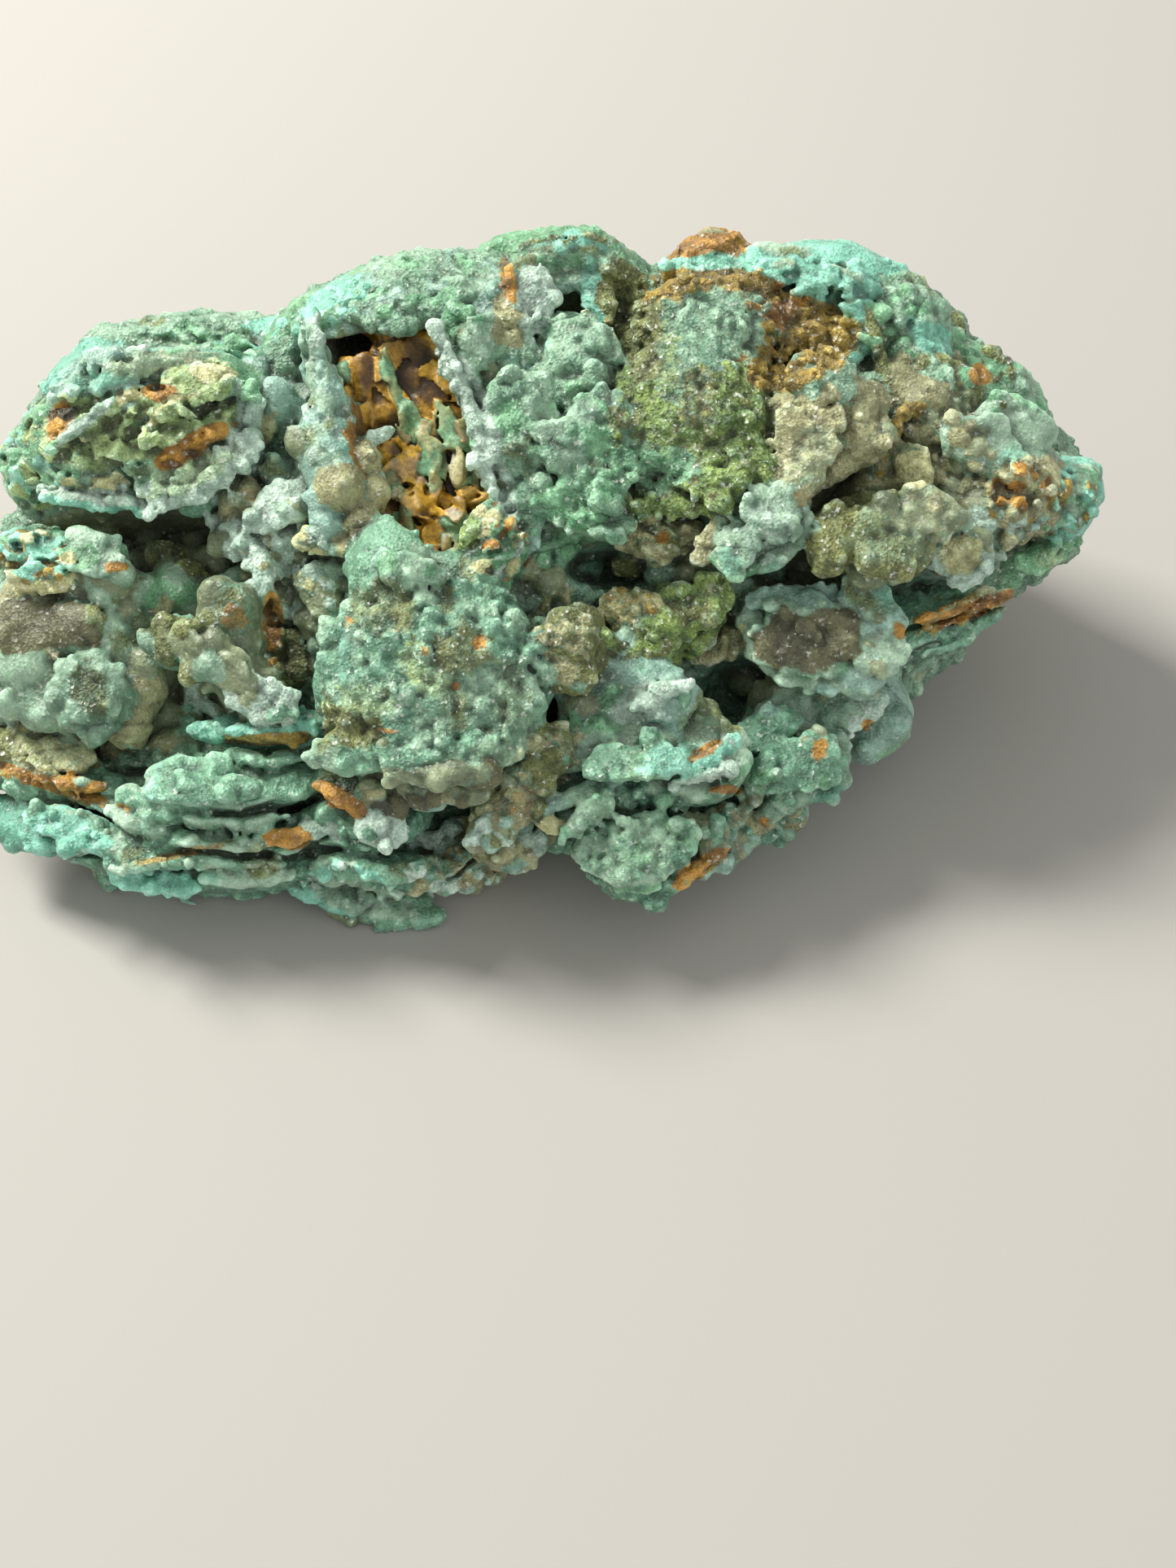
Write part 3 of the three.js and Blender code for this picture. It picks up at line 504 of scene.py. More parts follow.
# Swarms of small forms over a patch of skin. Each row: kind, minerals, across, up, half width, half height,
# spin, how many, and the smallest and largest radius.
SWARMS = [
    # the broken faces of the nodule
    ("flakes", ("lime", "cream", "green"), -43.5, 17.5, 9.5, 4.5, 18, 50, 0.7, 1.6),
    ("flakes", ("aqua", "blue", "pale"), -49, 22.5, 6.5, 2.5, 15, 22, 0.7, 1.6),
    # crystals between the hollow and the window
    ("knobs", ("pale", "pale", "tan"), -32.5, 3.5, 2.5, 4, 0, 50, 0.4, 0.9),
    ("flakes", ("rust", "tan", "pale"), -30.4, -5.5, 1.4, 4.5, 0, 40, 0.4, 1.0),
    ("knobs", ("pale", "cream"), -26.5, 0.5, 1.6, 1.6, 0, 26, 0.35, 0.6),
    # the crest
    ("knobs", ("druse", "blue", "green"), -14, 33, 11, 3.0, 12, 110, 0.4, 1.2),
    ("knobs", ("turquoise", "green"), -25, 30, 6, 2, 30, 60, 0.4, 1.0),
    ("knobs", ("druse", "green"), 0, 13, 8, 10, 0, 130, 0.5, 1.5),
    # the crown
    ("flakes", ("rust", "ochre", "ochre", "olive"), 26.5, 27, 7, 5, -10, 50, 0.6, 1.6),
    ("flakes", ("ochre", "rust", "olive"), 19, 33.4, 8, 1.4, 0, 60, 0.4, 1.1),
    ("knobs", ("druse", "blue", "pale"), 19.5, 28, 5, 4.5, 0, 110, 0.4, 1.0),
    ("flakes", ("turquoise", "green", "aqua"), 33, 31, 6, 4, -30, 70, 0.5, 1.4),
    ("knobs", ("moss", "moss", "olive"), 15.5, 15.5, 9, 7.5, 0, 340, 0.4, 0.9),
    ("knobs", ("lime", "olive"), 14, 25.5, 2.4, 5.5, 0, 80, 0.4, 0.8),
    ("flakes", ("ochre", "olive"), 9, 31, 2.6, 5, 10, 60, 0.4, 1.2),
    ("knobs", ("green", "druse", "olive"), 46, 25, 9, 3.5, -35, 120, 0.5, 1.5),
    ("knobs", ("green", "druse"), 41, 31, 4, 3, -40, 50, 0.5, 1.4),
    # the tip
    ("flakes", ("tan", "tan", "ochre", "cream"), 53, 9, 3.6, 3.0, 0, 34, 0.6, 1.5),
    ("flakes", ("turquoise", "green", "blue"), 58.3, 7.8, 2.6, 4.0, -20, 30, 0.6, 1.3),
    ("knobs", ("tan", "grape", "brown"), 43, 13, 7, 8, 0, 80, 0.5, 1.4),
    ("knobs", ("cream", "cream", "tan"), 41.4, 12.5, 1.5, 2.3, 0, 40, 0.5, 0.9),
    ("knobs", ("pale", "aqua", "grape"), 49, 5.5, 5, 3, 0, 40, 0.5, 1.4),
    # the middle
    ("knobs", ("ochre", "cream", "ochre"), 9.1, -3.0, 2.8, 2.0, 0, 60, 0.35, 0.7),
    ("knobs", ("olive", "moss"), 13, -4.5, 7, 3.5, 20, 120, 0.4, 1.0),
    ("knobs", ("tan", "cream", "olive"), 12.5, 4.6, 4.2, 2.4, 0, 70, 0.4, 1.0),
    ("knobs", ("olive", "tan"), 2, -6, 3, 5, 0, 70, 0.4, 0.9),
    # the dome
    ("knobs", ("teal", "druse", "teal"), -12, -9, 12, 11, 0, 150, 0.8, 1.9),
    ("knobs", ("olive", "lime", "teal"), -21, -15.0, 4.5, 3.4, -10, 120, 0.35, 0.6),
    ("knobs", ("olive", "lime", "green"), -11.5, -8.5, 4.5, 3.6, 0, 110, 0.35, 0.7),
    ("knobs", ("brown", "tan", "olive"), -2.5, -23, 3, 9, -42, 160, 0.35, 0.9),
    ("knobs", ("brown", "blue", "pale"), -8, -31, 8, 4, 15, 120, 0.5, 1.2),
    # the plates and the root
    ("knobs", ("blue", "grape", "aqua"), 33, -11, 9, 8, 0, 40, 0.4, 1.1),
    ("knobs", ("teal", "blue"), 11, -18, 12, 9, 0, 40, 0.4, 1.0),
    ("knobs", ("teal", "druse"), 10, -29, 7, 5.5, 0, 120, 0.4, 1.2),
    ("knobs", ("aqua", "grape", "teal"), 23, -27, 6, 3, 10, 40, 0.5, 1.2),
    # the ledges
    ("knobs", ("teal", "aqua"), -36, -24, 22, 10, 0, 50, 0.4, 1.1),
    ("flakes", ("turquoise", "aqua"), -52, -28, 6, 2.4, -16, 40, 0.5, 1.3),
    ("flakes", ("turquoise", "teal", "pale"), -22, -33.6, 6, 1.8, -15, 34, 0.5, 1.2),
    ("knobs", ("grape", "olive", "aqua"), -42, -4, 11, 7, 0, 34, 1.4, 3.2),
    ("knobs", ("grape", "umber", "brown"), -13, -23, 9, 2, 8, 36, 0.8, 1.7),
    ("knobs", ("grape", "aqua", "pale"), -27, 0, 4, 9, 0, 40, 0.5, 1.5),
    ("knobs", ("aqua", "druse", "pale"), 24, 6.2, 4.5, 5.5, -40, 60, 0.35, 0.8),
]

# Patches of the show face that are broken into blocks. Each row: minerals, across, up, half width, half
# height, spin, the blocks' sizes along, across and deep, and how far they stand apart in height.
FRACTURES = [
    (("lime", "cream", "lime", "green", "lime", "aqua"), -43.5, 17.0, 12.5, 7, 20, (4.2, 2.0, 3.0), 0.9),
    (("green", "green", "turquoise", "lime", "green"), -55, 13.5, 7, 6.5, 10, (2.6, 1.6, 2.4), 0.8),
    (("blue", "aqua", "turquoise", "blue"), -49, 22.4, 7.5, 3.0, 12, (3.4, 1.8, 2.4), 0.6),
    (("cream", "turquoise", "turquoise", "green", "ochre"), -55, 2.2, 6.5, 3.2, -15, (2.6, 1.3, 1.8), 1.0),
    (("green", "green", "turquoise", "druse"), -36, 24.5, 8, 3.0, 0, (2.2, 1.2, 1.8), 0.6),
    (("blue", "blue", "pale", "aqua"), -24.2, 19, 3.4, 9, 14, (1.8, 2.4, 1.6), 0.5),
    (("green", "cream", "green", "pale", "rust"), -5.8, 4.6, 4.2, 4.4, 30, (2.0, 0.9, 1.6), 1.0),
    (("ochre", "ochre", "rust", "olive"), 28, 27.5, 5.5, 4.6, -20, (1.9, 1.3, 1.6), 0.6),
    (("rust", "rust", "tan"), 18, 36, 4.6, 2.0, 0, (2.4, 1.2, 1.6), 0.6),
    (("tan", "cream", "rust", "tan"), 52, 9.7, 3.6, 3.0, 10, (1.8, 1.2, 1.6), 0.6),
    (("turquoise", "green", "aqua", "ochre"), 58, 8.5, 3.4, 5.0, -30, (2.2, 1.4, 1.6), 0.5),
    (("green", "olive", "turquoise"), 3, 36, 6, 1.8, 0, (2.0, 1.2, 1.6), 0.45),
    (("turquoise", "turquoise", "aqua"), 31, 32, 7.5, 2.6, -12, (2.4, 1.3, 1.6), 0.6),
    (("rust", "ochre", "brown"), 46, -3.6, 6.5, 1.4, 20, (2.4, 0.9, 1.6), 0.8),
    (("rust", "ochre"), -54, -22.6, 8, 1.0, -18, (3.0, 0.9, 1.6), 0.6),
    (("rust", "ochre"), 17.3, -31.6, 4, 1.0, 32, (2.0, 0.9, 1.6), 0.6),
]

# Patches of the show face that are laid down in thin wavy layers. Each row: across, up, half width, half
# height, spin, the layers' spacing and how deep the gaps between them are.
LAYERS = [
    (-34, -27, 29, 9.5, 2, 5.2, 1.6),
    (46, -4, 11, 4, 20, 2.5, 1.2),
    (-48, 10.5, 11, 1.8, -2, 1.8, 0.5),
    (22, -27.5, 6, 3.0, 25, 3.2, 0.9),
    (-6, -32, 9, 3.5, 14, 2.6, 0.8),
]

# The slabs in the window. Each row: tone, across, up, how far its middle stands proud of the window's
# floor, its half sizes across, up and out, then spin, lean and turn.
LIMONITE_SLABS = [
    (0.28, -20.9, 25.4, 0.5, 2.6, 1.1, 1.0, -20, 10),
    (0.72, -18.4, 26.2, 1.0, 1.2, 2.0, 0.6, 10, 20),
    (0.80, -16.4, 26.2, 1.2, 0.9, 2.4, 0.6, 0, 0, 30),
    (0.42, -14.1, 25.4, 0.4, 1.7, 2.2, 0.9, 15, -15),
    (0.28, -14.5, 27.6, 0.2, 1.6, 0.8, 0.8, 0, 25),
    (0.20, -12.0, 25.2, 1.0, 0.8, 3.0, 0.9, 20),
    (0.72, -21.8, 23.2, 0.6, 1.5, 1.2, 0.8, 0, 0, 25),
    (0.45, -19.0, 22.4, 0.8, 1.7, 0.9, 0.8, -25, 25),
    (0.66, -16.3, 20.8, 1.4, 0.7, 4.4, 0.5, 24, 0, 30),
    (0.30, -15.0, 22.7, 0.6, 1.9, 1.2, 0.9, -10, -20),
    (0.42, -14.5, 20.9, 0.8, 1.3, 1.0, 0.7, 10, 20, -20),
    (0.28, -20.9, 20.4, 0.2, 2.3, 1.9, 0.9, 10, 15, 15),
    (0.32, -20.0, 17.6, 0.2, 2.7, 2.3, 0.9, -15, -12, 12),
    (0.90, -17.8, 20.0, 1.0, 1.1, 0.7, 0.6, 15),
    (0.62, -15.0, 17.6, 1.4, 1.2, 2.4, 0.6, 15, 0, 20),
    (0.95, -13.5, 17.2, 1.2, 0.6, 0.6, 0.5),
    (0.26, -14.4, 15.4, 0.3, 2.1, 1.4, 0.9, -20, 25),
    (0.22, -17.3, 15.0, 0.2, 1.5, 1.7, 0.8, 30, 0, 25),
    (0.42, -15.9, 12.8, 0.9, 2.3, 1.3, 0.8, 18, -10, 15),
    (0.40, -16.6, 11.2, 0.8, 1.2, 0.9, 0.7, 0, 20),
    (0.75, -12.7, 13.6, 0.9, 1.7, 2.3, 0.9, 10, 10, -20),
    (0.86, -10.6, 16.6, 1.0, 0.8, 3.8, 0.7, 20, 0, 20),
    (0.90, -9.6, 13.4, 1.0, 1.0, 2.6, 0.8, 15, 0, -20),
    (0.60, -8.5, 14.2, 0.9, 0.6, 3.4, 0.7, 18, 0, 30),
    (0.15, -12.2, 19.6, 0.6, 0.8, 3.2, 0.7, 18),
    (0.70, -11.6, 18.4, 1.0, 0.6, 3.0, 0.6, 16, 0, -20),
    (0.30, -14.0, 9.4, 0.5, 2.3, 1.7, 0.9, 20, 20),
    (0.14, -13.3, 7.6, 0.8, 1.2, 0.9, 0.8, 40),
    (0.20, -8.2, 9.1, 1.2, 1.8, 0.9, 0.8, 5, 20),
    (0.28, -12.7, 5.2, 0.6, 1.8, 1.8, 0.9, 10, -15, 20),
    (0.64, -10.0, 6.6, 1.0, 1.9, 1.0, 0.8, -15, 25),
    (0.88, -6.0, 7.0, 1.3, 1.4, 1.2, 0.8, 20, 0, 20),
    (0.34, -6.8, 5.6, 1.0, 1.6, 0.7, 0.8, 25, 20),
    (0.95, -4.8, 4.2, 1.2, 1.3, 1.6, 0.8, 10, -20),
    (0.70, -2.9, 5.2, 1.2, 0.8, 2.4, 0.9, 12, 0, 20),
    (0.66, -15.0, 5.8, 1.0, 0.9, 2.9, 0.7, 8, 0, -25),
    (0.90, -6.4, 2.6, 1.0, 2.0, 0.7, 0.7, 5, 20),
    (0.62, -8.4, 3.4, 0.8, 1.6, 1.6, 0.8, -30, 15),
]

# The pieces that the skin is meshed in, with places deep in each: across, up and out on the show face, and
# for the far side x, y and z.
FRONT_PIECES = {
    "upper_left_nodule": [(-46, 17, 0)],
    "left_hollow": [(-50, -6, 0), (-37, -6, -4)],
    "left_ledges": [(-45, -28, 0), (-28, -27, 0)],
    "window_frame": [(-18, 14, 0)],
    "crest": [(-18, 33, 0), (0, 37, 0)],
    "druse": [(2, 16, 2)],
    "moss": [(18, 17, 3)],
    "crown": [(27, 33, 0)],
    "right_mass": [(46, 16, -2)],
    "right_shelves": [(40, -1, 0)],
    "dome": [(-13, -9, 4)],
    "middle_foot": [(-10, -30, 2)],
    "middle_plates": [(9, -11, 5)],
    "right_plates": [(28, -15, 2)],
    "root": [(13, -29, 2)],
}
BACK_PIECES = {
    "back_left": [(-40, 24, 16)],
    "back_middle": [(-8, 30, 18)],
    "back_right": [(30, 28, 16)],
}

# The widths, in mm, of the fillets that join forms to what they lie on.
LUMP_BLEND = 2.6
PIT_BLEND = 1.4
SHELF_BLEND = 0.6
LEAF_BLEND = 0.35
KNOB_BLEND = 0.15
# The powers of forms: a plain ellipsoid's, and those of slabs with blunter and blunter rims.
ROUND = 2
SHELF_POWER = 3
LOBE_POWER = 2.6
FLAKE_POWER = 5
UNDERSIDE_BLEND = 8.0  # the width of the rounding between the sides and the ground
UNDERSIDE_SWELL = 2.2  # the height and spacing of the swells in the underside
UNDERSIDE_SPACING = 17.0
UNDERSIDE_SEED = 71
FAR = 40.0  # the distance that empty voxels start with
TINY = 1e-6  # keeps divisions by a length from failing at its zero


def cos_and_sin(degrees):
    return math.cos(math.radians(degrees)), math.sin(math.radians(degrees))


def turn_about(axis, degrees):
    c, s = cos_and_sin(degrees)
    i, j = [(1, 2), (2, 0), (0, 1)][axis]
    turn = np.eye(3)
    turn[i, i] = turn[j, j] = c
    turn[i, j] = -s
    turn[j, i] = s
    return turn


def turn_on_face(spin=0, lean=0, turn=0):
    """The turn of a form on the face: spin within the face, lean of its outer side up, turn towards +X."""
    return FACE @ turn_about(0, -lean) @ turn_about(1, turn) @ turn_about(2, spin)


def on_sight_line(across, up, out):
    """The points out mm before the face's plane, on the sight lines through across, up on it."""
    across, up, out = np.broadcast_arrays(np.asarray(across, float), up, out)
    nearer = 1 - out / EYE_DISTANCE
    a = EYE_AXIS[0] + (across - EYE_AXIS[0]) * nearer
    b = EYE_AXIS[1] + (up - EYE_AXIS[1]) * nearer
    return FACE_CENTRE + a[..., None] * ACROSS + b[..., None] * UP + out[..., None] * OUT


def core_out(across, up):
    """How far out of the face's plane the core's skin lies at places on the face."""
    across = np.asarray(across, float)
    out = np.full(across.shape, RIM_OUT)
    for a, b, w, ra, rb, rw in CORE:
        inside = 1 - ((across - a) / ra) ** 2 - ((up - b) / rb) ** 2
        skin = w + rw * np.sqrt(np.maximum(inside, 0))
        out = np.where(inside > 0, np.maximum(out, skin), out)
    return out


def face_place(points):
    """Where the sight lines of points cross the face's plane, and how far out of it the points are."""
    own = (points - FACE_CENTRE) @ FACE
    nearer = 1 - own[:, 2] / EYE_DISTANCE
    across = EYE_AXIS[0] + (own[:, 0] - EYE_AXIS[0]) / nearer
    up = EYE_AXIS[1] + (own[:, 1] - EYE_AXIS[1]) / nearer
    return across, up, own[:, 2]


# ---------- noise ----------
LATTICE = 48  # the cells after which the noise repeats
ALONG = [(-1, 1, 1), (1, -1, 1), (1, 1, -1)]  # the shapes that lay values along each axis of a grid


@lru_cache(maxsize=None)
def lattice(seed, low=-1.0):
    """Random numbers from low to 1 in a cube of cells."""
    return np.random.default_rng(seed).uniform(low, 1, (LATTICE, LATTICE, LATTICE)).astype(np.float32)


def eased(share):
    return share * share * (3 - 2 * share)


def lattice_steps(positions, spacing):
    """The lattice's cells on both sides of positions, and the eased share of the upper one."""
    at = np.asarray(positions, np.float32) / spacing
    low = np.floor(at).astype(int)
    return low % LATTICE, (low + 1) % LATTICE, eased(at - low)


def noise_on_grid(axes, spacing, seed):
    """Smooth noise in -1..1 over a grid given by its three axes."""
    values = lattice(seed)
    for axis in range(3):
        low, high, share = lattice_steps(axes[axis], spacing)
        share = share.reshape(ALONG[axis])
        values = values.take(low, axis=axis) * (1 - share) + values.take(high, axis=axis) * share
    return values


def noise_at(points, spacing, seed):
    """The same noise at scattered points."""
    values = lattice(seed)
    steps = [lattice_steps(points[:, axis], spacing) for axis in range(3)]
    total = np.zeros(len(points), np.float32)
    for corner in range(8):
        index = []
        weight = np.ones(len(points), np.float32)
        for axis in range(3):
            low, high, share = steps[axis]
            upper = corner >> axis & 1
            index.append(high if upper else low)
            weight = weight * (share if upper else 1 - share)
        total += weight * values[tuple(index)]
    return total


def waves(noise, where, table, seed, apart, size=1.0):
    """Noises of several spacings and heights added up, over a grid or at scattered points. Apart is how far
    apart their seeds are."""
    return sum(height * noise(where, size * spacing, seed + apart * number)
               for number, (spacing, height) in enumerate(table))


def drawn(index, seed):
    """Three numbers in -1..1 drawn for each cell."""
    cell = tuple((index % LATTICE).T)
    return np.stack([lattice(seed + number)[cell] for number in range(3)], axis=1)


def smooth_step(value, low, high):
    return eased(np.clip((value - low) / (high - low), 0, 1))


# ---------- the bent space that forms are drawn in, so that no outline is a clean curve ----------
WARP = [(7.0, 0.7), (2.2, 0.22)]  # spacing and height of its waves
WARP_SEED = 11


def shifts(noise, where):
    """How far the bent space is shifted along each axis, over a grid or at scattered points."""
    return [waves(noise, where, WARP, WARP_SEED + axis, 10) for axis in range(3)]


def bent(points):
    """Where places lie in the bent space."""
    points = np.atleast_2d(points)
    return np.squeeze(points + np.stack(shifts(noise_at, points), axis=1))


# ---------- distances ----------
# A form is an ellipsoid, or with a higher power a slab with a blunt rim. Blend is the width of the fillet
# that joins it to what it lies on, and tone, 0 to 1, is how light it is among its like.
Form = namedtuple("Form", "centre turn size power blend mineral tone")


def blend(a, b, width):
    """The lesser of two distances, filleted where they are nearly alike."""
    near = np.maximum(width - np.abs(a - b), 0) / width
    return np.minimum(a, b) - near * near * width / 4


def outside_form(own, size, power):
    """About how far points, in a form's own axes, are outside it."""
    u, v, w = own[0] / size[0], own[1] / size[1], own[2] / size[2]
    if power == ROUND:
        share = np.sqrt(u * u + v * v + w * w) + TINY
        slope = np.sqrt((u / size[0]) ** 2 + (v / size[1]) ** 2 + (w / size[2]) ** 2) / share + TINY
        return (share - 1) / slope
    reach = np.sqrt(u * u + v * v) + TINY
    thick = np.abs(w)
    share = (reach ** power + thick ** power) ** (1 / power) + TINY
    flat = (reach / share) ** (power - 1)
    thick = (thick / share) ** (power - 1)
    along = ((u / size[0]) ** 2 + (v / size[1]) ** 2) / reach ** 2
    slope = np.sqrt(flat ** 2 * along + (thick / size[2]) ** 2) + TINY
    return (share - 1) / slope


FORM_ROOM = 1.15  # how many half sizes of a form the bends can make it reach
JOIN_ROOM = 2.0  # how many mm beyond a form and its fillet it is still worked
SINK_ROOM = 3.0
BALL_ROOM = 0.7
PIT_BRINK = 0.3  # how far beyond its brink a pit's mineral reaches
PIT_WALL = 1.6  # how deep its mineral is behind its wall
SKIN_HIGHEST = 26.0  # how far out of the face's plane its skin is looked for
SKIN_LOWEST = -30.0
SKIN_STEP = 0.3
SLOPE_STEP = 0.6  # how far on each side of a point the skin's slope is measured

# Small knobs: cell, smallest and largest radius, and how many radii a knob's middle lies under the skin.
KNOB_LEVELS = [(3.2, 1.0, 2.0, 0.5), (1.8, 0.6, 1.15, 0.5), (1.05, 0.38, 0.62, 0.42)]
KNOB_REACH = 0.55  # how far from the skin, in cells, a knob may be drawn
KNOB_SKEW = 1.6  # the power that makes small knobs commoner than large ones
KNOB_SEED = 500

# The skin's roughness, in mm.
ROUGH_SEED = 31
HABIT_BLUR = 0.6  # how far, in mm, one mineral's roughness runs into the next's
OCTAVES = [(2.9, 1.0), (1.3, 0.5), (0.75, 0.4)]  # the lumps' spacings and heights
LUMPY_SHARE = 0.45
RIDGE_SHARE = 0.25
RIDGE_SPACING = 1.9
BUDS = [(2.6, 1.7), (1.2, 1.9)]  # the buds' spacing, and their height for each mm of roughness
BUD_LIMIT = 0.5  # the roughness beyond which buds grow no higher
BUD_LEVEL = 0.3  # the share of their height by which buds sink in
BUD_REACH = 1.2  # how far from the skin, in mm, buds are worked
BUD_STRAY = 0.3  # how far a bud's middle strays from its cell's, in cells

# Patches of the show face, with blocks' strays and tilts as shares of their size.
FRACTURE_SEED = 700
LAYER_SEED = 600
PATCH_DEPTH = 14.0  # how far before and behind the core's skin a patch is worked
PATCH_FADE = 2.0  # the last mm of that depth, over which it fades out
PATCH_RIM = (1.0, 0.8)  # the share of its half sizes where a patch begins, and where it is in full
BLOCK_STRAY = 0.4
BLOCK_TILT = 0.8
BLOCK_LIFT = 0.45
BLOCK_TONE = 0.5  # how far the tones of blocks with minerals of their own stray
PLAIN_BLOCK_TONE = 0.17
LAYER_WAVES = [(11.0, 2.6), (3.1, 0.6)]  # spacing and height of the waves in the layers
GAP_SPACING = 6.0  # the size of the stretches where gaps are open
GAP_OPENS = (-0.5, 0.3)  # the noise where a gap begins to open, and where it is open in full
GAP_EDGE = (0.68, 0.97)
LAYER_TONE = 0.3

SMOOTH_LIMIT = 2.5  # how many reaches from the skin distances still count when they are averaged
WORN_HEIGHT = 51.0  # the height, in mm, that the crest wears down to
WORN_BLEND = 1.2
FIELD_BAND = 3  # how many voxels from the skin the distances are kept for the mesh
LAST_VOXEL = 1.001  # keeps a place in a grid just short of its last voxel
CRUMB = 160  # triangles in the smallest separate lump of skin that is kept


class Field:
    """Signed distances on a grid of voxels, negative inside the stone, with the mineral and tone there."""

    def __init__(self, low, high, voxel):
        self.voxel = voxel
        self.low = np.floor(np.asarray(low) / voxel) * voxel
        count = np.ceil((np.asarray(high) - self.low) / voxel).astype(int) + 1
        self.axes = [(self.low[i] + voxel * np.arange(count[i])).astype(np.float32) for i in range(3)]
        self.distance = np.full(tuple(count), FAR, np.float32)
        self.tone = np.full(tuple(count), 0.5, np.float32)
        self.mineral = np.zeros(tuple(count), np.uint8)

    def bend(self):
        self.warp = shifts(noise_on_grid, self.axes)

    def box(self, centre, reach):
        """The slices of the grid within reach of a place, or None."""
        slices = []
        for axis in range(3):
            first = int((centre[axis] - reach[axis] - self.low[axis]) / self.voxel)
            last = int((centre[axis] + reach[axis] - self.low[axis]) / self.voxel) + 2
            first = max(first, 0)
            last = min(last, self.distance.shape[axis])
            if first >= last:
                return None
            slices.append(slice(first, last))
        return tuple(slices)

    def offset(self, centre, box):
        """Where the voxels of a box lie from a place, in bent space."""
        return [self.axes[axis][box[axis]].reshape(ALONG[axis]) - centre[axis] + self.warp[axis][box]
                for axis in range(3)]

    def outside(self, form, box):
        """How far the voxels of a box are outside a form."""
        offset = self.offset(form.centre, box)
        own = [sum(form.turn[i, j] * offset[i] for i in range(3)) for j in range(3)]
        return outside_form(own, form.size, form.power)

    def form_box(self, form, room):
        """The slices of the grid within room of a form and its fillet."""
        return self.box(form.centre, np.abs(form.turn) @ form.size * FORM_ROOM + 2 * form.blend + room)

    def join(self, form):
        box = self.form_box(form, JOIN_ROOM)
        if box is not None:
            kind = MINERAL_NAMES.index(form.mineral)
            self.add(box, self.outside(form, box), form.blend, kind, form.tone)

    def join_ball(self, centre, radius, kind, tone):
        """Joins a ball that isn't bent."""
        box = self.box(centre, np.full(3, radius + BALL_ROOM))
        if box is not None:
            x, y, z = [((self.axes[axis][box[axis]] - centre[axis]) ** 2).reshape(ALONG[axis])
                       for axis in range(3)]
            away = np.sqrt(x + y + z) - radius
            self.add(box, away, KNOB_BLEND, kind, tone)

    def add(self, box, away, width, kind, tone):
        old = self.distance[box]
        nearer = away < old
        self.tone[box][nearer] = tone
        self.mineral[box][nearer] = kind
        self.distance[box] = blend(old, away, width)

    def sink(self, form):
        """Sinks a form in as a pit, whose wall is of its mineral."""
        box = self.form_box(form, SINK_ROOM)
        if box is None:
            return
        away = self.outside(form, box)
        old = self.distance[box]
        wall = (-away > old - PIT_BRINK) & (away < PIT_WALL)
        self.mineral[box] = np.where(wall, MINERAL_NAMES.index(form.mineral), self.mineral[box])
        self.distance[box] = -blend(-old, away, form.blend)

    def sample(self, values, points):
        """Values of a grid array at points, blended between voxels."""
        at = (points - self.low) / self.voxel
        at = np.clip(at, 0, np.array(values.shape) - LAST_VOXEL)
        low = at.astype(int)
        part = (at - low).astype(np.float32)
        total = np.zeros(len(points), np.float32)
        for corner in range(8):
            step = [corner & 1, corner >> 1 & 1, corner >> 2 & 1]
            weight = np.ones(len(points), np.float32)
            for axis in range(3):
                weight = weight * (part[:, axis] if step[axis] else 1 - part[:, axis])
            total += weight * values[low[:, 0] + step[0], low[:, 1] + step[1], low[:, 2] + step[2]]
        return total

    def nearest(self, values, points):
        """The values of a grid array at the voxels nearest to points."""
        at = np.rint((points - self.low) / self.voxel).astype(int)
        at = np.clip(at, 0, np.array(values.shape) - 1)
        return values[at[:, 0], at[:, 1], at[:, 2]]

    def slope(self, points):
        """The direction straight out of the skin at points near it."""
        slope = np.zeros_like(points)
        for axis in range(3):
            ahead = points.copy()
            ahead[:, axis] += SLOPE_STEP
            behind = points.copy()
            behind[:, axis] -= SLOPE_STEP
            slope[:, axis] = self.sample(self.distance, ahead) - self.sample(self.distance, behind)
        return slope / (np.linalg.norm(slope, axis=1, keepdims=True) + TINY)

    def skin_out(self, across, up):
        """How far out of the face's plane the skin lies at places, or not a number beyond its rim."""
        outs = np.arange(SKIN_HIGHEST, SKIN_LOWEST, -SKIN_STEP)
        across, up = [np.asarray(places, float)[:, None] for places in (across, up)]
        points = on_sight_line(across, up, outs[None, :])
        inside = self.sample(self.distance, points.reshape(-1, 3)).reshape(points.shape[:2]) < 0
        return np.where(inside.any(axis=1), outs[inside.argmax(axis=1)], np.nan)

    def grow_knobs(self, level, seed):
        """Grows small knobs over the skin, as thickly as each mineral's habit says."""
        cell, small, large, seat = KNOB_LEVELS[level]
        first = np.floor(self.low / cell).astype(int)
        last = np.ceil((self.low + self.voxel * np.array(self.distance.shape)) / cell).astype(int)
        grids = np.meshgrid(*[np.arange(first[i], last[i] + 1) for i in range(3)], indexing="ij")
        index = np.stack([g.ravel() for g in grids], axis=1)

        def chance(number):
            return lattice(seed + number, 0.0)[tuple((index % LATTICE).T)]

        points = (index + np.stack([chance(axis) - 0.5 for axis in range(3)], axis=1)) * cell
        share = np.array([mineral.knobs[level] for mineral in MINERALS.values()])
        kinds = self.nearest(self.mineral, points)
        away = self.sample(self.distance, points)
        near = (chance(3) < share[kinds]) & (np.abs(away) < KNOB_REACH * cell)
        near = near & (self.sample(self.border, points) < large)
        radius = small + (large - small) * chance(4)[near] ** KNOB_SKEW
        tones = chance(5)[near]
        points, away = points[near], away[near]
        points = points - self.slope(points) * (away + seat * radius)[:, None]
        for centre, r, tone, kind in zip(points, radius, tones, kinds[near]):
            self.join_ball(centre, r, kind, tone)

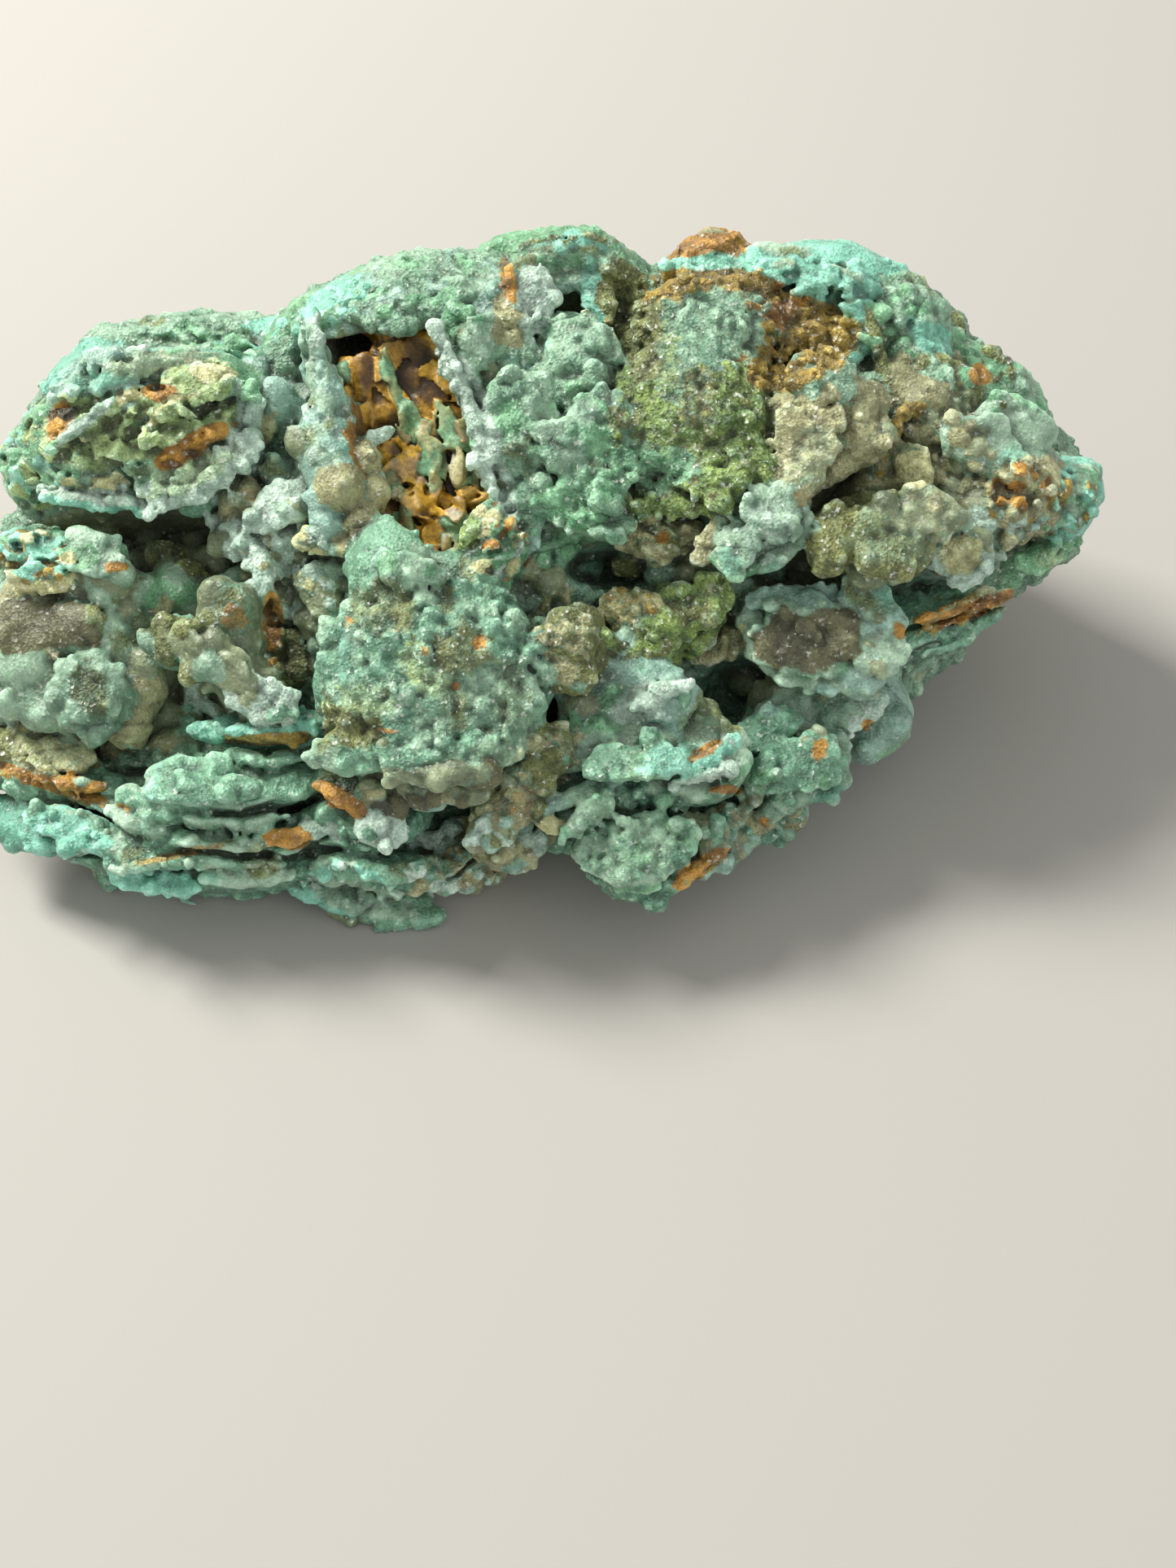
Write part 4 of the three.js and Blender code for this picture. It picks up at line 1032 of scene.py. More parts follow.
    def roughen(self, seed):
        """Lifts and lowers the skin by as much as each mineral's habit says."""
        amount = blurred(ROUGHNESS[self.mineral], max(1, round(HABIT_BLUR / self.voxel)))
        lumpy = waves(noise_on_grid, self.axes, OCTAVES, seed, 10)
        ridged = 1 - 2 * np.abs(noise_on_grid(self.axes, RIDGE_SPACING, seed + 5))
        self.distance += amount * (LUMPY_SHARE * lumpy + RIDGE_SHARE * ridged)
        amount = np.minimum(amount, BUD_LIMIT)
        for number, (spacing, height) in enumerate(BUDS):
            self.bud(spacing, height * amount, seed + 50 + 10 * number)

    def bud(self, spacing, height, seed):
        """Covers the skin with rounded buds that meet in sharp creases."""
        near = np.abs(self.distance) < BUD_REACH
        index = np.argwhere(near)
        at = (self.low + self.voxel * index) / spacing
        cell = np.floor(at - 0.5).astype(int)
        best = np.full(len(at), 2.0)  # the square of the way to the nearest bud's middle, in cells
        for step in np.ndindex(2, 2, 2):
            neighbour = cell + step
            spot = neighbour + 0.5 + BUD_STRAY * drawn(neighbour, seed)
            best = np.minimum(best, ((at - spot) ** 2).sum(axis=1))
        self.distance[near] += (height[near] * (best - BUD_LEVEL)).astype(np.float32)

    def patch(self, across, up, half_width, half_height, spin, depth):
        """The voxels near the skin in an ellipse on the face: their box, which they are, where they lie in
        the ellipse's own axes, and a share that fades out at its rim."""
        centre = bent(on_sight_line(across, up, float(core_out(across, up))))
        turn = turn_on_face(spin)
        box = self.box(centre, np.abs(turn) @ np.array([half_width, half_height, PATCH_DEPTH]) + 1)
        if box is None:
            return None
        offset = self.offset(centre, box)
        near = np.abs(self.distance[box]) < depth + 1
        own = np.stack([sum(turn[i, j] * offset[i] for i in range(3))[near] for j in range(3)], axis=1)
        share = smooth_step(np.hypot(own[:, 0] / half_width, own[:, 1] / half_height), *PATCH_RIM)
        share = share * smooth_step(np.abs(own[:, 2]), PATCH_DEPTH, PATCH_DEPTH - PATCH_FADE)
        return box, near, own, share

    def shatter(self, place, sizes, height, minerals, seed):
        """Breaks a patch into blocks, each with a level, tilt, tone and mineral of its own."""
        patch = self.patch(*place, height)
        if patch is None:
            return
        box, near, own, share = patch
        at = own / np.array(sizes)
        cell = np.floor(at).astype(int)
        best = np.full(len(at), np.inf)
        offset = np.zeros_like(at)
        block = np.zeros_like(cell)
        for step in np.ndindex(3, 3, 3):
            index = cell + np.array(step) - 1
            spot = index + 0.5 + BLOCK_STRAY * drawn(index, seed)
            away = ((at - spot) ** 2).sum(axis=1)
            nearer = away < best
            best[nearer] = away[nearer]
            offset[nearer] = (at - spot)[nearer]
            block[nearer] = index[nearer]
        tilt = drawn(block, seed + 3)
        lift = BLOCK_TILT * (tilt * offset).sum(axis=1) + BLOCK_LIFT * drawn(block, seed + 6)[:, 0]
        self.distance[box][near] += (height * share * lift).astype(np.float32)
        chosen = drawn(block, seed + 9)
        tone = self.tone[box]
        if minerals is None:
            tone[near] = np.clip(tone[near] + PLAIN_BLOCK_TONE * chosen[:, 1] * share, 0, 1)
            return
        tone[near] = np.where(share > 0.5, 0.5 + BLOCK_TONE * chosen[:, 1], tone[near])
        kinds = np.array([MINERAL_NAMES.index(mineral) for mineral in minerals])
        picked = (0.5 + 0.499 * chosen[:, 0]) * len(kinds)  # always short of the list's end
        kinds = kinds[picked.astype(int)]
        mineral = self.mineral[box]
        mineral[near] = np.where(share > 0.5, kinds, mineral[near])

    def layer(self, place, spacing, depth, seed):
        """Cuts a patch into thin wavy layers with gaps between them."""
        patch = self.patch(*place, depth)
        if patch is None:
            return
        box, near, own, share = patch
        wave = waves(noise_on_grid, self.axes, LAYER_WAVES, seed, 1)
        turns = (own[:, 1] + wave[box][near]) / spacing
        gap = 1 - np.abs(2 * (turns % 1) - 1)
        open_share = smooth_step(noise_on_grid(self.axes, GAP_SPACING, seed + 5)[box][near], *GAP_OPENS)
        cut = depth * share * open_share * smooth_step(gap, *GAP_EDGE)
        self.distance[box][near] += cut.astype(np.float32)
        level = np.stack([np.floor(turns + 0.5).astype(int)] * 3, axis=1)
        tone = self.tone[box]
        tone[near] = np.clip(tone[near] + LAYER_TONE * share * drawn(level, seed + 2)[:, 0], 0, 1)

    def smoothed(self, reach):
        """The distances averaged over a cube that reaches so many mm each way."""
        values = np.clip(self.distance, -SMOOTH_LIMIT * reach, SMOOTH_LIMIT * reach)
        return blurred(values, max(1, round(reach / self.voxel)))

    def stand_on_ground(self):
        """Rounds the sides under."""
        swell_axes = [self.axes[0], self.axes[1], np.array([0.5], np.float32)]
        swell = UNDERSIDE_SWELL * noise_on_grid(swell_axes, UNDERSIDE_SPACING, UNDERSIDE_SEED)
        height = self.axes[2][None, None, :]
        self.distance = -blend(-self.distance, height - swell, UNDERSIDE_BLEND)

    def keep_within(self, outside, width):
        """Cuts off what is outside, with a rounded brink."""
        self.distance = -blend(-self.distance, -outside, width)

    def cut_at_ground(self):
        np.maximum(self.distance, -self.axes[2][None, None, :], out=self.distance)

    def wear_down_top(self):
        """Rounds off what stands above the height that the crest wears down to."""
        self.distance = -blend(-self.distance, WORN_HEIGHT - self.axes[2][None, None, :], WORN_BLEND)

    def mesh(self, flatness):
        """The skin as points and triangles, without loose crumbs."""
        band = FIELD_BAND * self.voxel
        grid = openvdb.FloatGrid(band)
        grid.copyFromArray(np.clip(self.distance, -band, band))
        points, triangles, quads = grid.convertToPolygons(isovalue=0.0, adaptivity=flatness)
        points = points.astype(np.float64) * self.voxel + self.low
        quads = quads.astype(np.int64)
        halves = [triangles.astype(np.int64).reshape(-1, 3), quads[:, [0, 1, 2]], quads[:, [0, 2, 3]]]
        return without_crumbs(points, np.concatenate(halves))


def blurred(values, count):
    """An array averaged over cubes that reach count voxels each way."""
    for axis in range(3):
        size = values.shape[axis]
        total = np.cumsum(values, axis=axis, dtype=np.float64)
        zero = np.zeros_like(total.take([0], axis=axis))
        total = np.concatenate([zero, total], axis=axis)
        upper = np.minimum(np.arange(size) + count + 1, size)
        lower = np.maximum(np.arange(size) - count, 0)
        span = (upper - lower).reshape(ALONG[axis])
        within = total.take(upper, axis=axis) - total.take(lower, axis=axis)
        values = (within / span).astype(np.float32)
    return values


def without_crumbs(points, triangles):
    """Drops the separate lumps of a mesh that have hardly any triangles."""
    label = np.arange(len(points))
    ends = np.concatenate([triangles[:, [0, 1]], triangles[:, [1, 2]], triangles[:, [2, 0]]])
    while True:
        lowest = np.minimum(label[ends[:, 0]], label[ends[:, 1]])
        new = label.copy()
        np.minimum.at(new, ends[:, 0], lowest)
        np.minimum.at(new, ends[:, 1], lowest)
        new = new[new]
        if (new == label).all():
            break
        label = new
    sizes = np.bincount(label[triangles[:, 0]], minlength=len(points))
    kept_triangles = triangles[sizes[label[triangles[:, 0]]] >= CRUMB]
    kept = np.zeros(len(points), bool)
    kept[kept_triangles] = True
    index = np.cumsum(kept) - 1
    return points[kept], index[kept_triangles]


# ---------- the stone ----------
STONE_LOW = (-66.0, -40.0, -1.5)
STONE_HIGH = (66.0, 40.0, 53.0)
COARSE_VOXEL = 0.8
UNTURNED = np.eye(3)
PITS_SEED = 1
LUMPS_SEED = 2
GROWTHS_SEED = 5

# The lobes along a slab's rim, in mm or as shares of the slab's half sizes.
SLAB_SHARE = 0.86  # how much of the slab is left inside its lobes
LOBE_RADIUS = (0.7, 1.6)
LOBE_LARGEST = 0.6
LOBE_REACH = (0.84, 1.12)  # where the lobes' outer ends lie
LOBE_SEAT = 0.75  # how many radii a lobe's middle lies inside its outer end
LOBE_RISE = (-0.1, 0.45)
LOBE_THICK = 0.55
LOBE_THINNEST = 0.45
LOBE_THICKNESS = (0.7, 1.1)
LOBE_STEP = 1.15  # how many radii lie between neighbours
LOBE_TILT = (-14, 14)
LOBE_TONE = (-0.2, 0.3)

# The small plates that lie askew on a slab's outer side.
PLATE_AREA = 5  # the product of the slab's half sizes that bears one plate
PLATE_REACH = (0.25, 0.85)
PLATE_RISE = (0.4, 0.9)
PLATE_LENGTH = (1.1, 2.4)
PLATE_WIDTH = (0.5, 0.9)
PLATE_THICKNESS = (0.45, 0.75)
PLATE_TILT = (-30, 30)
PLATE_SPIN = (-60, 60)
PLATE_TONE = (-0.35, 0.35)

# Swarms, with knobs and flakes as shares of their radius.
TRIES = 14  # how many places are tried for each form of a swarm
SWARM_SKEW = 1.7  # the power that makes small forms commoner than large ones
SWARM_GAP = 0.62  # how far apart neighbours' middles are, in the sum of their radii
KNOB_SEAT = 0.25
KNOB_SHAPE = np.array([1.0, 1.0, 0.92])
KNOB_FILLET = 0.22
FLAKE_SPIN = (-180, 180)
FLAKE_TILT = (-50, 50)
FLAKE_WIDTH = (0.45, 0.9)
FLAKE_THICKNESS = (0.22, 0.42)
SEATED_TONE = (0.3, 1.0)


def form_on_face(row, out, power, width, tone):
    mineral, across, up, proud, ra, rb, rw, *turns = row
    centre = bent(on_sight_line(across, up, out + proud))
    size = np.array([ra, rb, rw], float)
    return Form(centre, turn_on_face(*turns), size, power, width, mineral, tone)


def core_form(across, up, out, *size):
    centre = bent(on_sight_line(across, up, out))
    return Form(centre, FACE, np.array(size, float), ROUND, LUMP_BLEND, "crust", 0.5)


def forms_by_core(rows, power, width, rng):
    return [form_on_face(row, float(core_out(*row[1:3])), power, width, rng.random()) for row in rows]


def pit_forms():
    pits = forms_by_core(PITS, ROUND, PIT_BLEND, np.random.default_rng(PITS_SEED))
    return pits + [Form(bent(ARCH_CENTRE), UNTURNED, ARCH_SIZE, ROUND, PIT_BLEND, "teal", 0.5)]


def tilted(rng, limits):
    """A random lean about both axes of a slab's plane."""
    return turn_about(0, rng.uniform(*limits)) @ turn_about(1, rng.uniform(*limits))


def stray_tone(form, rng, limits):
    return np.clip(form.tone + rng.uniform(*limits), 0, 1)


def scalloped(form, rng):
    """A slab and the lobes along its rim."""
    ra, rb, rw = form.size
    forms = [form._replace(size=np.array([SLAB_SHARE * ra, SLAB_SHARE * rb, rw]))]
    angle = rng.uniform(0, 1)
    end = angle + 2 * math.pi
    while angle < end:
        lobe = min(rng.uniform(*LOBE_RADIUS), LOBE_LARGEST * ra, LOBE_LARGEST * rb)
        c, s = math.cos(angle), math.sin(angle)
        reach = rng.uniform(*LOBE_REACH)
        a = (ra * reach - LOBE_SEAT * lobe) * c
        b = (rb * reach - LOBE_SEAT * lobe) * s
        place = np.array([a, b, rw * rng.uniform(*LOBE_RISE)])
        thick = max(LOBE_THICK * rw, LOBE_THINNEST) * rng.uniform(*LOBE_THICKNESS)
        turn = form.turn @ tilted(rng, LOBE_TILT)
        forms.append(Form(form.centre + form.turn @ place, turn, np.array([lobe, lobe, thick]), LOBE_POWER,
                          LEAF_BLEND, form.mineral, stray_tone(form, rng, LOBE_TONE)))
        angle += LOBE_STEP * lobe / math.hypot(ra * s, rb * c)
    return forms


def foliated(form, rng):
    """A scalloped slab with smaller ones lying askew on its outer side."""
    forms = scalloped(form, rng)
    ra, rb, rw = form.size
    for _ in range(int(ra * rb / PLATE_AREA)):
        angle = rng.uniform(0, 2 * math.pi)
        reach = rng.uniform(*PLATE_REACH)
        a = ra * reach * math.cos(angle)
        b = rb * reach * math.sin(angle)
        place = np.array([a, b, rw * rng.uniform(*PLATE_RISE)])
        length = rng.uniform(*PLATE_LENGTH)
        size = np.array([length, length * rng.uniform(*PLATE_WIDTH), rng.uniform(*PLATE_THICKNESS)])
        tilt = tilted(rng, PLATE_TILT)
        tilt = tilt @ turn_about(2, rng.uniform(*PLATE_SPIN))
        plate = form._replace(centre=form.centre + form.turn @ place, turn=form.turn @ tilt, size=size,
                              blend=LEAF_BLEND, tone=stray_tone(form, rng, PLATE_TONE))
        forms += scalloped(plate, rng)
    return forms


def spread(rng, half_width, half_height, count, small, large):
    """Places and radii in an ellipse, spaced so that neighbours only just overlap."""
    placed = np.empty((0, 3))
    for _ in range(TRIES * count):
        if len(placed) == count:
            break
        a, b = rng.uniform(-1, 1, 2)
        radius = small + (large - small) * rng.random() ** SWARM_SKEW
        if math.hypot(a, b) > 1:
            continue
        a, b = a * half_width, b * half_height
        gaps = np.hypot(placed[:, 0] - a, placed[:, 1] - b) - SWARM_GAP * (placed[:, 2] + radius)
        if len(placed) == 0 or gaps.min() > 0:
            placed = np.vstack([placed, (a, b, radius)])
    return placed


def knob(mineral, across, up, out, radius, tone):
    centre = bent(on_sight_line(across, up, out - KNOB_SEAT * radius))
    return Form(centre, FACE, radius * KNOB_SHAPE, ROUND, KNOB_FILLET * radius, mineral, tone)


def flake(mineral, across, up, out, radius, rng):
    turn = turn_on_face(rng.uniform(*FLAKE_SPIN), rng.uniform(*FLAKE_TILT), rng.uniform(*FLAKE_TILT))
    size = radius * np.array([1.0, rng.uniform(*FLAKE_WIDTH), rng.uniform(*FLAKE_THICKNESS)])
    centre = bent(on_sight_line(across, up, out))
    return Form(centre, turn, size, FLAKE_POWER, KNOB_BLEND, mineral, rng.random())


def swarm_forms(skin, row, rng):
    """The knobs or flakes of a swarm, seated on the skin wherever there is skin under them."""
    kind, minerals, across, up, half_width, half_height, spin, count, small, large = row
    places = spread(rng, half_width, half_height, count, small, large)
    c, s = cos_and_sin(spin)
    a = across + places[:, 0] * c - places[:, 1] * s
    b = up + places[:, 0] * s + places[:, 1] * c
    forms = []
    for place, out in zip(zip(a, b, places[:, 2]), skin.skin_out(a, b)):
        if np.isnan(out):
            continue
        mineral = minerals[rng.integers(len(minerals))]
        if kind == "knobs":
            forms.append(knob(mineral, *place[:2], out, place[2], rng.random()))
        else:
            forms.append(flake(mineral, *place[:2], out, place[2], rng))
    return forms


def fill(field, growths):
    """The whole stone as far as it reaches into a field."""
    field.bend()
    for form in ROCK:
        field.join(form)
    field.stand_on_ground()
    for form in HOLES:
        field.sink(form)
    for form in growths:
        field.join(form)


ROCK = [core_form(*row) for row in CORE]
ROCK += forms_by_core(LUMPS, ROUND, LUMP_BLEND, np.random.default_rng(LUMPS_SEED))
HOLES = pit_forms()


def seated(skin, rows):
    """The rows of forms that have skin under them, each with how far out it lies."""
    outs = skin.skin_out([row[1] for row in rows], [row[2] for row in rows])
    return [(row, out) for row, out in zip(rows, outs) if not np.isnan(out)]


def all_growths():
    """Every form joined to the rock, shelves first and then what sits on their skin, and the coarse field
    of it all but the swarms."""
    rng = np.random.default_rng(GROWTHS_SEED)
    growths = []
    for form in forms_by_core(SHELVES, SHELF_POWER, SHELF_BLEND, rng):
        growths += foliated(form, rng)
    skin = Field(STONE_LOW, STONE_HIGH, COARSE_VOXEL)
    fill(skin, growths)
    on_skin = []
    for row, out in seated(skin, LEAVES):
        leaf = form_on_face(row, out, SHELF_POWER, LEAF_BLEND, rng.uniform(*SEATED_TONE))
        on_skin += foliated(leaf, rng)
    for row, out in seated(skin, KNOBS):
        on_skin.append(knob(*row[:3], out, row[3], rng.uniform(*SEATED_TONE)))
    for form in on_skin:
        skin.join(form)
    growths += on_skin
    for row in SWARMS:
        growths += swarm_forms(skin, row, rng)
    return growths, skin


# ---------- the pieces of the skin ----------
BORDER_SPACING = 9.0  # the spacing and height of the waves in the borders
BORDER_HEIGHT = 2.2
BORDER_SEED = 91
BORDER_OVERLAP = 0.5  # how far each piece reaches over its border
BORDER_BLEND = 1.2  # how round its brink is there
SKIN_NEAR = 2.5  # how near the skin and the border voxels are, in mm, that settle a piece's bounds
BORDER_NEAR = 1.0
BOUNDS_ROOM = 2.0
FRONT_MESH = (0.34, 0.22)  # voxel, and how flat a patch may be to be meshed with larger triangles
BACK_MESH = (0.5, 0.2)


def piece_places():
    """The places deep in each piece, as points."""
    places = {name: [on_sight_line(*at) for at in spots] for name, spots in FRONT_PIECES.items()}
    places.update({name: [np.array(at, float) for at in spots] for name, spots in BACK_PIECES.items()})
    return places


PIECE_PLACES = piece_places()


def piece_borders(skin):
    """How far each voxel of the coarse field is beyond the border of each piece."""
    x, y, z = [skin.axes[axis].reshape(ALONG[axis])
               + BORDER_HEIGHT * noise_on_grid(skin.axes, BORDER_SPACING, BORDER_SEED + axis)
               for axis in range(3)]
    away = {}
    for name, spots in PIECE_PLACES.items():
        to_spots = [np.sqrt((x - a) ** 2 + (y - b) ** 2 + (z - c) ** 2) for a, b, c in spots]
        away[name] = np.min(to_spots, axis=0)
    borders = {}
    for name, own in away.items():
        others = np.min([other for key, other in away.items() if key != name], axis=0)
        borders[name] = (own - others) / 2 - BORDER_OVERLAP
    return borders


def piece_bounds(skin, border):
    """The low and high corners of the box that a piece's skin lies in."""
    near = (np.abs(skin.distance) < SKIN_NEAR) & (border < BORDER_NEAR)
    low, high = [], []
    for axis in range(3):
        rest = tuple(i for i in range(3) if i != axis)
        used = skin.axes[axis][near.any(axis=rest)]
        low.append(used[0] - BOUNDS_ROOM)
        high.append(used[-1] + BOUNDS_ROOM)
    low[2] = max(low[2], STONE_LOW[2])
    return low, high


def on_finer_grid(values, coarse, axes):
    """Values of a coarse field at the voxels of a finer grid."""
    for axis in range(3):
        at = (axes[axis] - coarse.low[axis]) / coarse.voxel
        at = np.clip(at, 0, values.shape[axis] - LAST_VOXEL)
        low = at.astype(int)
        share = (at - low).astype(np.float32).reshape(ALONG[axis])
        values = values.take(low, axis=axis) * (1 - share) + values.take(low + 1, axis=axis) * share
    return values


def forms_near(forms, skin, border):
    """The forms that reach into a piece."""
    away = skin.sample(border, np.array([form.centre for form in forms]))
    reach = np.array([form.size.max() * FORM_ROOM + SINK_ROOM for form in forms])
    return [form for form, near in zip(forms, away < reach) if near]


def piece_field(skin, growths, border, voxel):
    """The fine field of one piece, with all that is worked into its skin."""
    field = Field(*piece_bounds(skin, border), voxel)
    field.border = on_finer_grid(border, skin, field.axes)
    fill(field, forms_near(growths, skin, border))
    field.roughen(ROUGH_SEED)
    for number, (minerals, *place, sizes, height) in enumerate(FRACTURES):
        field.shatter(place, sizes, height, minerals, FRACTURE_SEED + 20 * number)
    for number, (*place, spacing, depth) in enumerate(LAYERS):
        field.layer(place, spacing, depth, LAYER_SEED + 10 * number)
    for level in range(len(KNOB_LEVELS)):
        field.grow_knobs(level, KNOB_SEED + 20 * level)
    field.wear_down_top()
    return field


# ---------- stains ----------
# Each row: mineral, across, up, half width, half height, spin and strength. Rows marked below paint shade
# or a highlight.
STAINS = [
    # upper left nodule
    ("blue", -48.5, 23.2, 6, 2.4, 10, 0.8),
    ("turquoise", -49, 23.0, 4, 1.4, 10, 0.6),
    ("rust", -43.2, 21, 2.2, 1.0, 0, 1.0),
    ("rust", -54.4, 17.7, 1.2, 2.2, -20, 1.0),
    ("pale", -51.5, 17.8, 4.6, 0.7, 38, 1.0),
    ("cream", -42, 18.5, 4.5, 1.6, 35, 0.8),
    ("green", -44, 15, 6, 1.6, 20, 0.8),
    ("lime", -40.5, 17.5, 6, 2.2, 28, 0.7),
    ("lime", -47, 15.2, 6.5, 2.2, 15, 0.7),
    ("pale", -50, 9.5, 7, 0.8, -8, 0.8),
    ("pale", -38.6, 12.2, 6.8, 2.4, 20, 0.8),
    ("lime", -39.5, 12.4, 6.0, 2.0, 20, 0.55),
    ("rust", -38.8, 15.6, 5.2, 1.4, 30, 1.0),
    # the bridge
    ("turquoise", -24, 32, 4, 1.2, 32, 0.9),
    ("rust", -4.1, 34, 0.8, 3, 10, 1.0),
    ("olive", 8.6, 31.8, 2.4, 4.5, 10, 1.0),
    ("pale", -6.6, 16, 1.5, 9, 18, 0.8),
    ("aqua", -7.2, 26.9, 2.2, 2.0, 0, 0.8),
    ("pale", -12, 34.5, 4, 1.6, 10, 0.35),
    # right of the bridge
    ("rust", 17.5, 37.4, 4.2, 1.4, 0, 1.0),
    ("turquoise", 18.6, 35.5, 3, 1.2, 0, 0.8),
    ("ochre", 19.5, 33.4, 7.5, 1.4, 0, 1.0),
    ("rust", 28.0, 29.6, 3.2, 2.8, 0, 1.0),
    ("ochre", 30.5, 27.5, 4.0, 3.4, -20, 0.8),
    ("turquoise", 30, 33.4, 5.5, 1.4, -12, 1.0),
    ("lime", 14, 25, 2.2, 5.0, 8, 0.45),
    ("tan", -44, 24.5, 7, 1.6, 8, 0.45),
    ("grape", 1, 36, 7, 2.2, 0, 0.4),
    ("ochre", 17, 21, 2.2, 4.0, -10, 0.45),
    ("green", 4.5, 9.5, 4, 3, 0, 0.5),
    ("olive", 11, 27, 2.4, 5, 0, 0.8),
    ("green", 12, 12.5, 5, 2.6, 0, 0.6),
    ("druse", 19.2, 28.6, 5, 4.4, 0, 0.75),
    ("ochre", 26, 23, 3.6, 2, 0, 0.8),
    # the flap
    ("aqua", 29.5, 13.0, 2.6, 5.0, -25, 0.4),
    ("rust", 28.5, 9.5, 1.0, 2.5, -30, 0.5),
    ("rust", 13.2, 5, 0.8, 0.8, 0, 0.9),
    ("turquoise", 21, 2.6, 1.6, 2.2, -10, 0.5),
    ("tan", -4.4, 28.4, 1.6, 2.6, 0, 0.8),
    # the right mass
    ("turquoise", 43, 27.5, 2.5, 1.6, -30, 0.8),
    ("rust", 48.6, 23.2, 1.3, 1.3, 0, 0.9),
    ("cream", 56, 2.6, 2, 1.2, 0, 0.4),
    ("rust", 47.3, -3.2, 4.5, 0.9, 20, 1.0),
    ("rust", 39.5, -5.5, 0.8, 1, 0, 0.9),
    # the lower right plates
    ("umber", 29.8, -6.4, 6.4, 3.8, 4, 0.92),
    ("turquoise", 15, -20, 5, 2.2, 0, 0.6),
    ("rust", 18.2, -18.6, 2, 0.6, 30, 0.9),
    ("rust", 20, -23.2, 2, 0.6, 0, 0.9),
    ("rust", 30.7, -18.8, 0.9, 1.4, -20, 1.0),
    ("rust", 36, -15.9, 0.8, 0.8, 0, 0.9),
    ("rust", 17.3, -31.6, 3.4, 0.9, 32, 1.0),
    ("rust", 24.5, -26.8, 0.8, 0.7, 0, 0.9),
    ("rust", -2.5, -24.5, 1.8, 2.2, -40, 0.5),
    # the dome
    ("olive", -21.1, -15.9, 4, 2.6, -10, 0.9),
    ("umber", -18.2, -2.3, 4, 3, 0, 0.25),
    # The next two umber rows are painted shade: the dome's lower right side, and the root under the plates.
    ("umber", -4.5, -18, 4, 4.5, 0, 0.4),
    ("umber", 10, -29, 6, 4, -20, 0.3),
    ("lime", -20, -13.5, 3.6, 1.8, -10, 0.45),
    ("lime", -12, -9.5, 4.2, 3.2, 0, 0.5),
    ("rust", -13.5, -7.8, 0.7, 0.7, 0, 0.9),
    ("rust", -10, -11.5, 0.6, 0.6, 0, 0.9),
    ("olive", -9.5, -8.2, 4, 2.6, 0, 0.6),
    ("olive", -18.2, -2.5, 4, 3, 0, 0.55),
    ("grape", -13.6, -21.8, 7, 1.6, 5, 0.7),
    ("olive", -4, -13, 2.5, 5, 0, 0.4),
    ("rust", -7.3, -6.8, 0.9, 0.9, 0, 0.8),
    ("rust", -17.5, -16.6, 1.4, 0.5, 0, 0.8),
    ("rust", -22.1, -4.5, 0.5, 0.9, 0, 1.0),
    ("turquoise", -22.5, -8, 0.8, 5, 0, 0.5),
    ("cream", 9.1, -3.0, 2.5, 1.9, 0, 1.0),
    ("ochre", 9.1, -3.0, 2.8, 2.1, 0, 0.5),
    ("tan", 20, -7, 3.6, 1.2, 35, 0.6),
    ("cream", 21, -6.0, 2.6, 0.7, 40, 0.6),
    ("moss", -9.3, 5.7, 2.2, 2.2, 0, 0.7),
    # Painted highlight along the ridge of the middle plates.
    ("pale", 10.5, -13.4, 3.4, 2.2, 20, 0.7),
    ("cream", 41.5, 12.3, 1.7, 2.3, 0, 1.0),
    ("rust", 51.8, 9.9, 2.4, 2.2, 0, 0.5),
    ("pale", 46.6, 2.8, 2.2, 2.2, 0, 0.8),
    ("cream", 46.6, 2.8, 2.6, 2.4, 0, 0.7),
    ("pale", 24.5, 6.0, 3.2, 4.0, -40, 0.45),
    ("grape", 38.5, 5.5, 5, 4, 0, 0.45),
    # the left hollow
    ("umber", -55.5, -4.6, 5.0, 2.8, -6, 1.0),
    ("umber", -34.5, -2.3, 2.6, 2.6, 0, 0.5),
    ("olive", -35, -3.2, 2.2, 2.4, 0, 0.7),
    ("rust", -34.6, -3.8, 1.6, 1.6, 0, 0.6),
    ("rust", -30.4, -4.5, 1.0, 3.5, 0, 1.0),
    ("rust", -47.7, 1.6, 1.5, 0.8, 0, 0.8),
    ("rust", -33.6, 9.2, 1.8, 1.4, 0, 0.5),
    # the ledges
    ("olive", -50.6, -12.2, 2.4, 3.4, 5, 0.6),
    ("rust", -55, -22.6, 7.5, 0.8, -18, 1.0),
    ("turquoise", -53.6, -28, 5.0, 1.8, -18, 0.9),
    ("cream", -55.5, -19.3, 4.5, 2.2, -5, 0.6),
    ("aqua", -20, -35.6, 6, 1.6, -12, 0.8),
    ("turquoise", -41, -33.2, 7, 1.2, -4, 0.5),
    ("ochre", -31, -17.6, 4.6, 0.7, 3, 0.9),
    ("rust", -28.9, -28.9, 2.8, 0.7, -8, 1.0),
    ("rust", -22.9, -24.3, 3, 1.2, -32, 1.0),
    ("ochre", -40, -30.2, 6, 0.5, 12, 0.7),
]
SHOW_DEPTH = 16.0  # how far behind the core's skin a stain of the show face reaches
SHOW_FADE = 4.0
SHOW_FACING = (-0.75, -0.35)  # the cosine of the skin's turn from the face where stains end, and are full

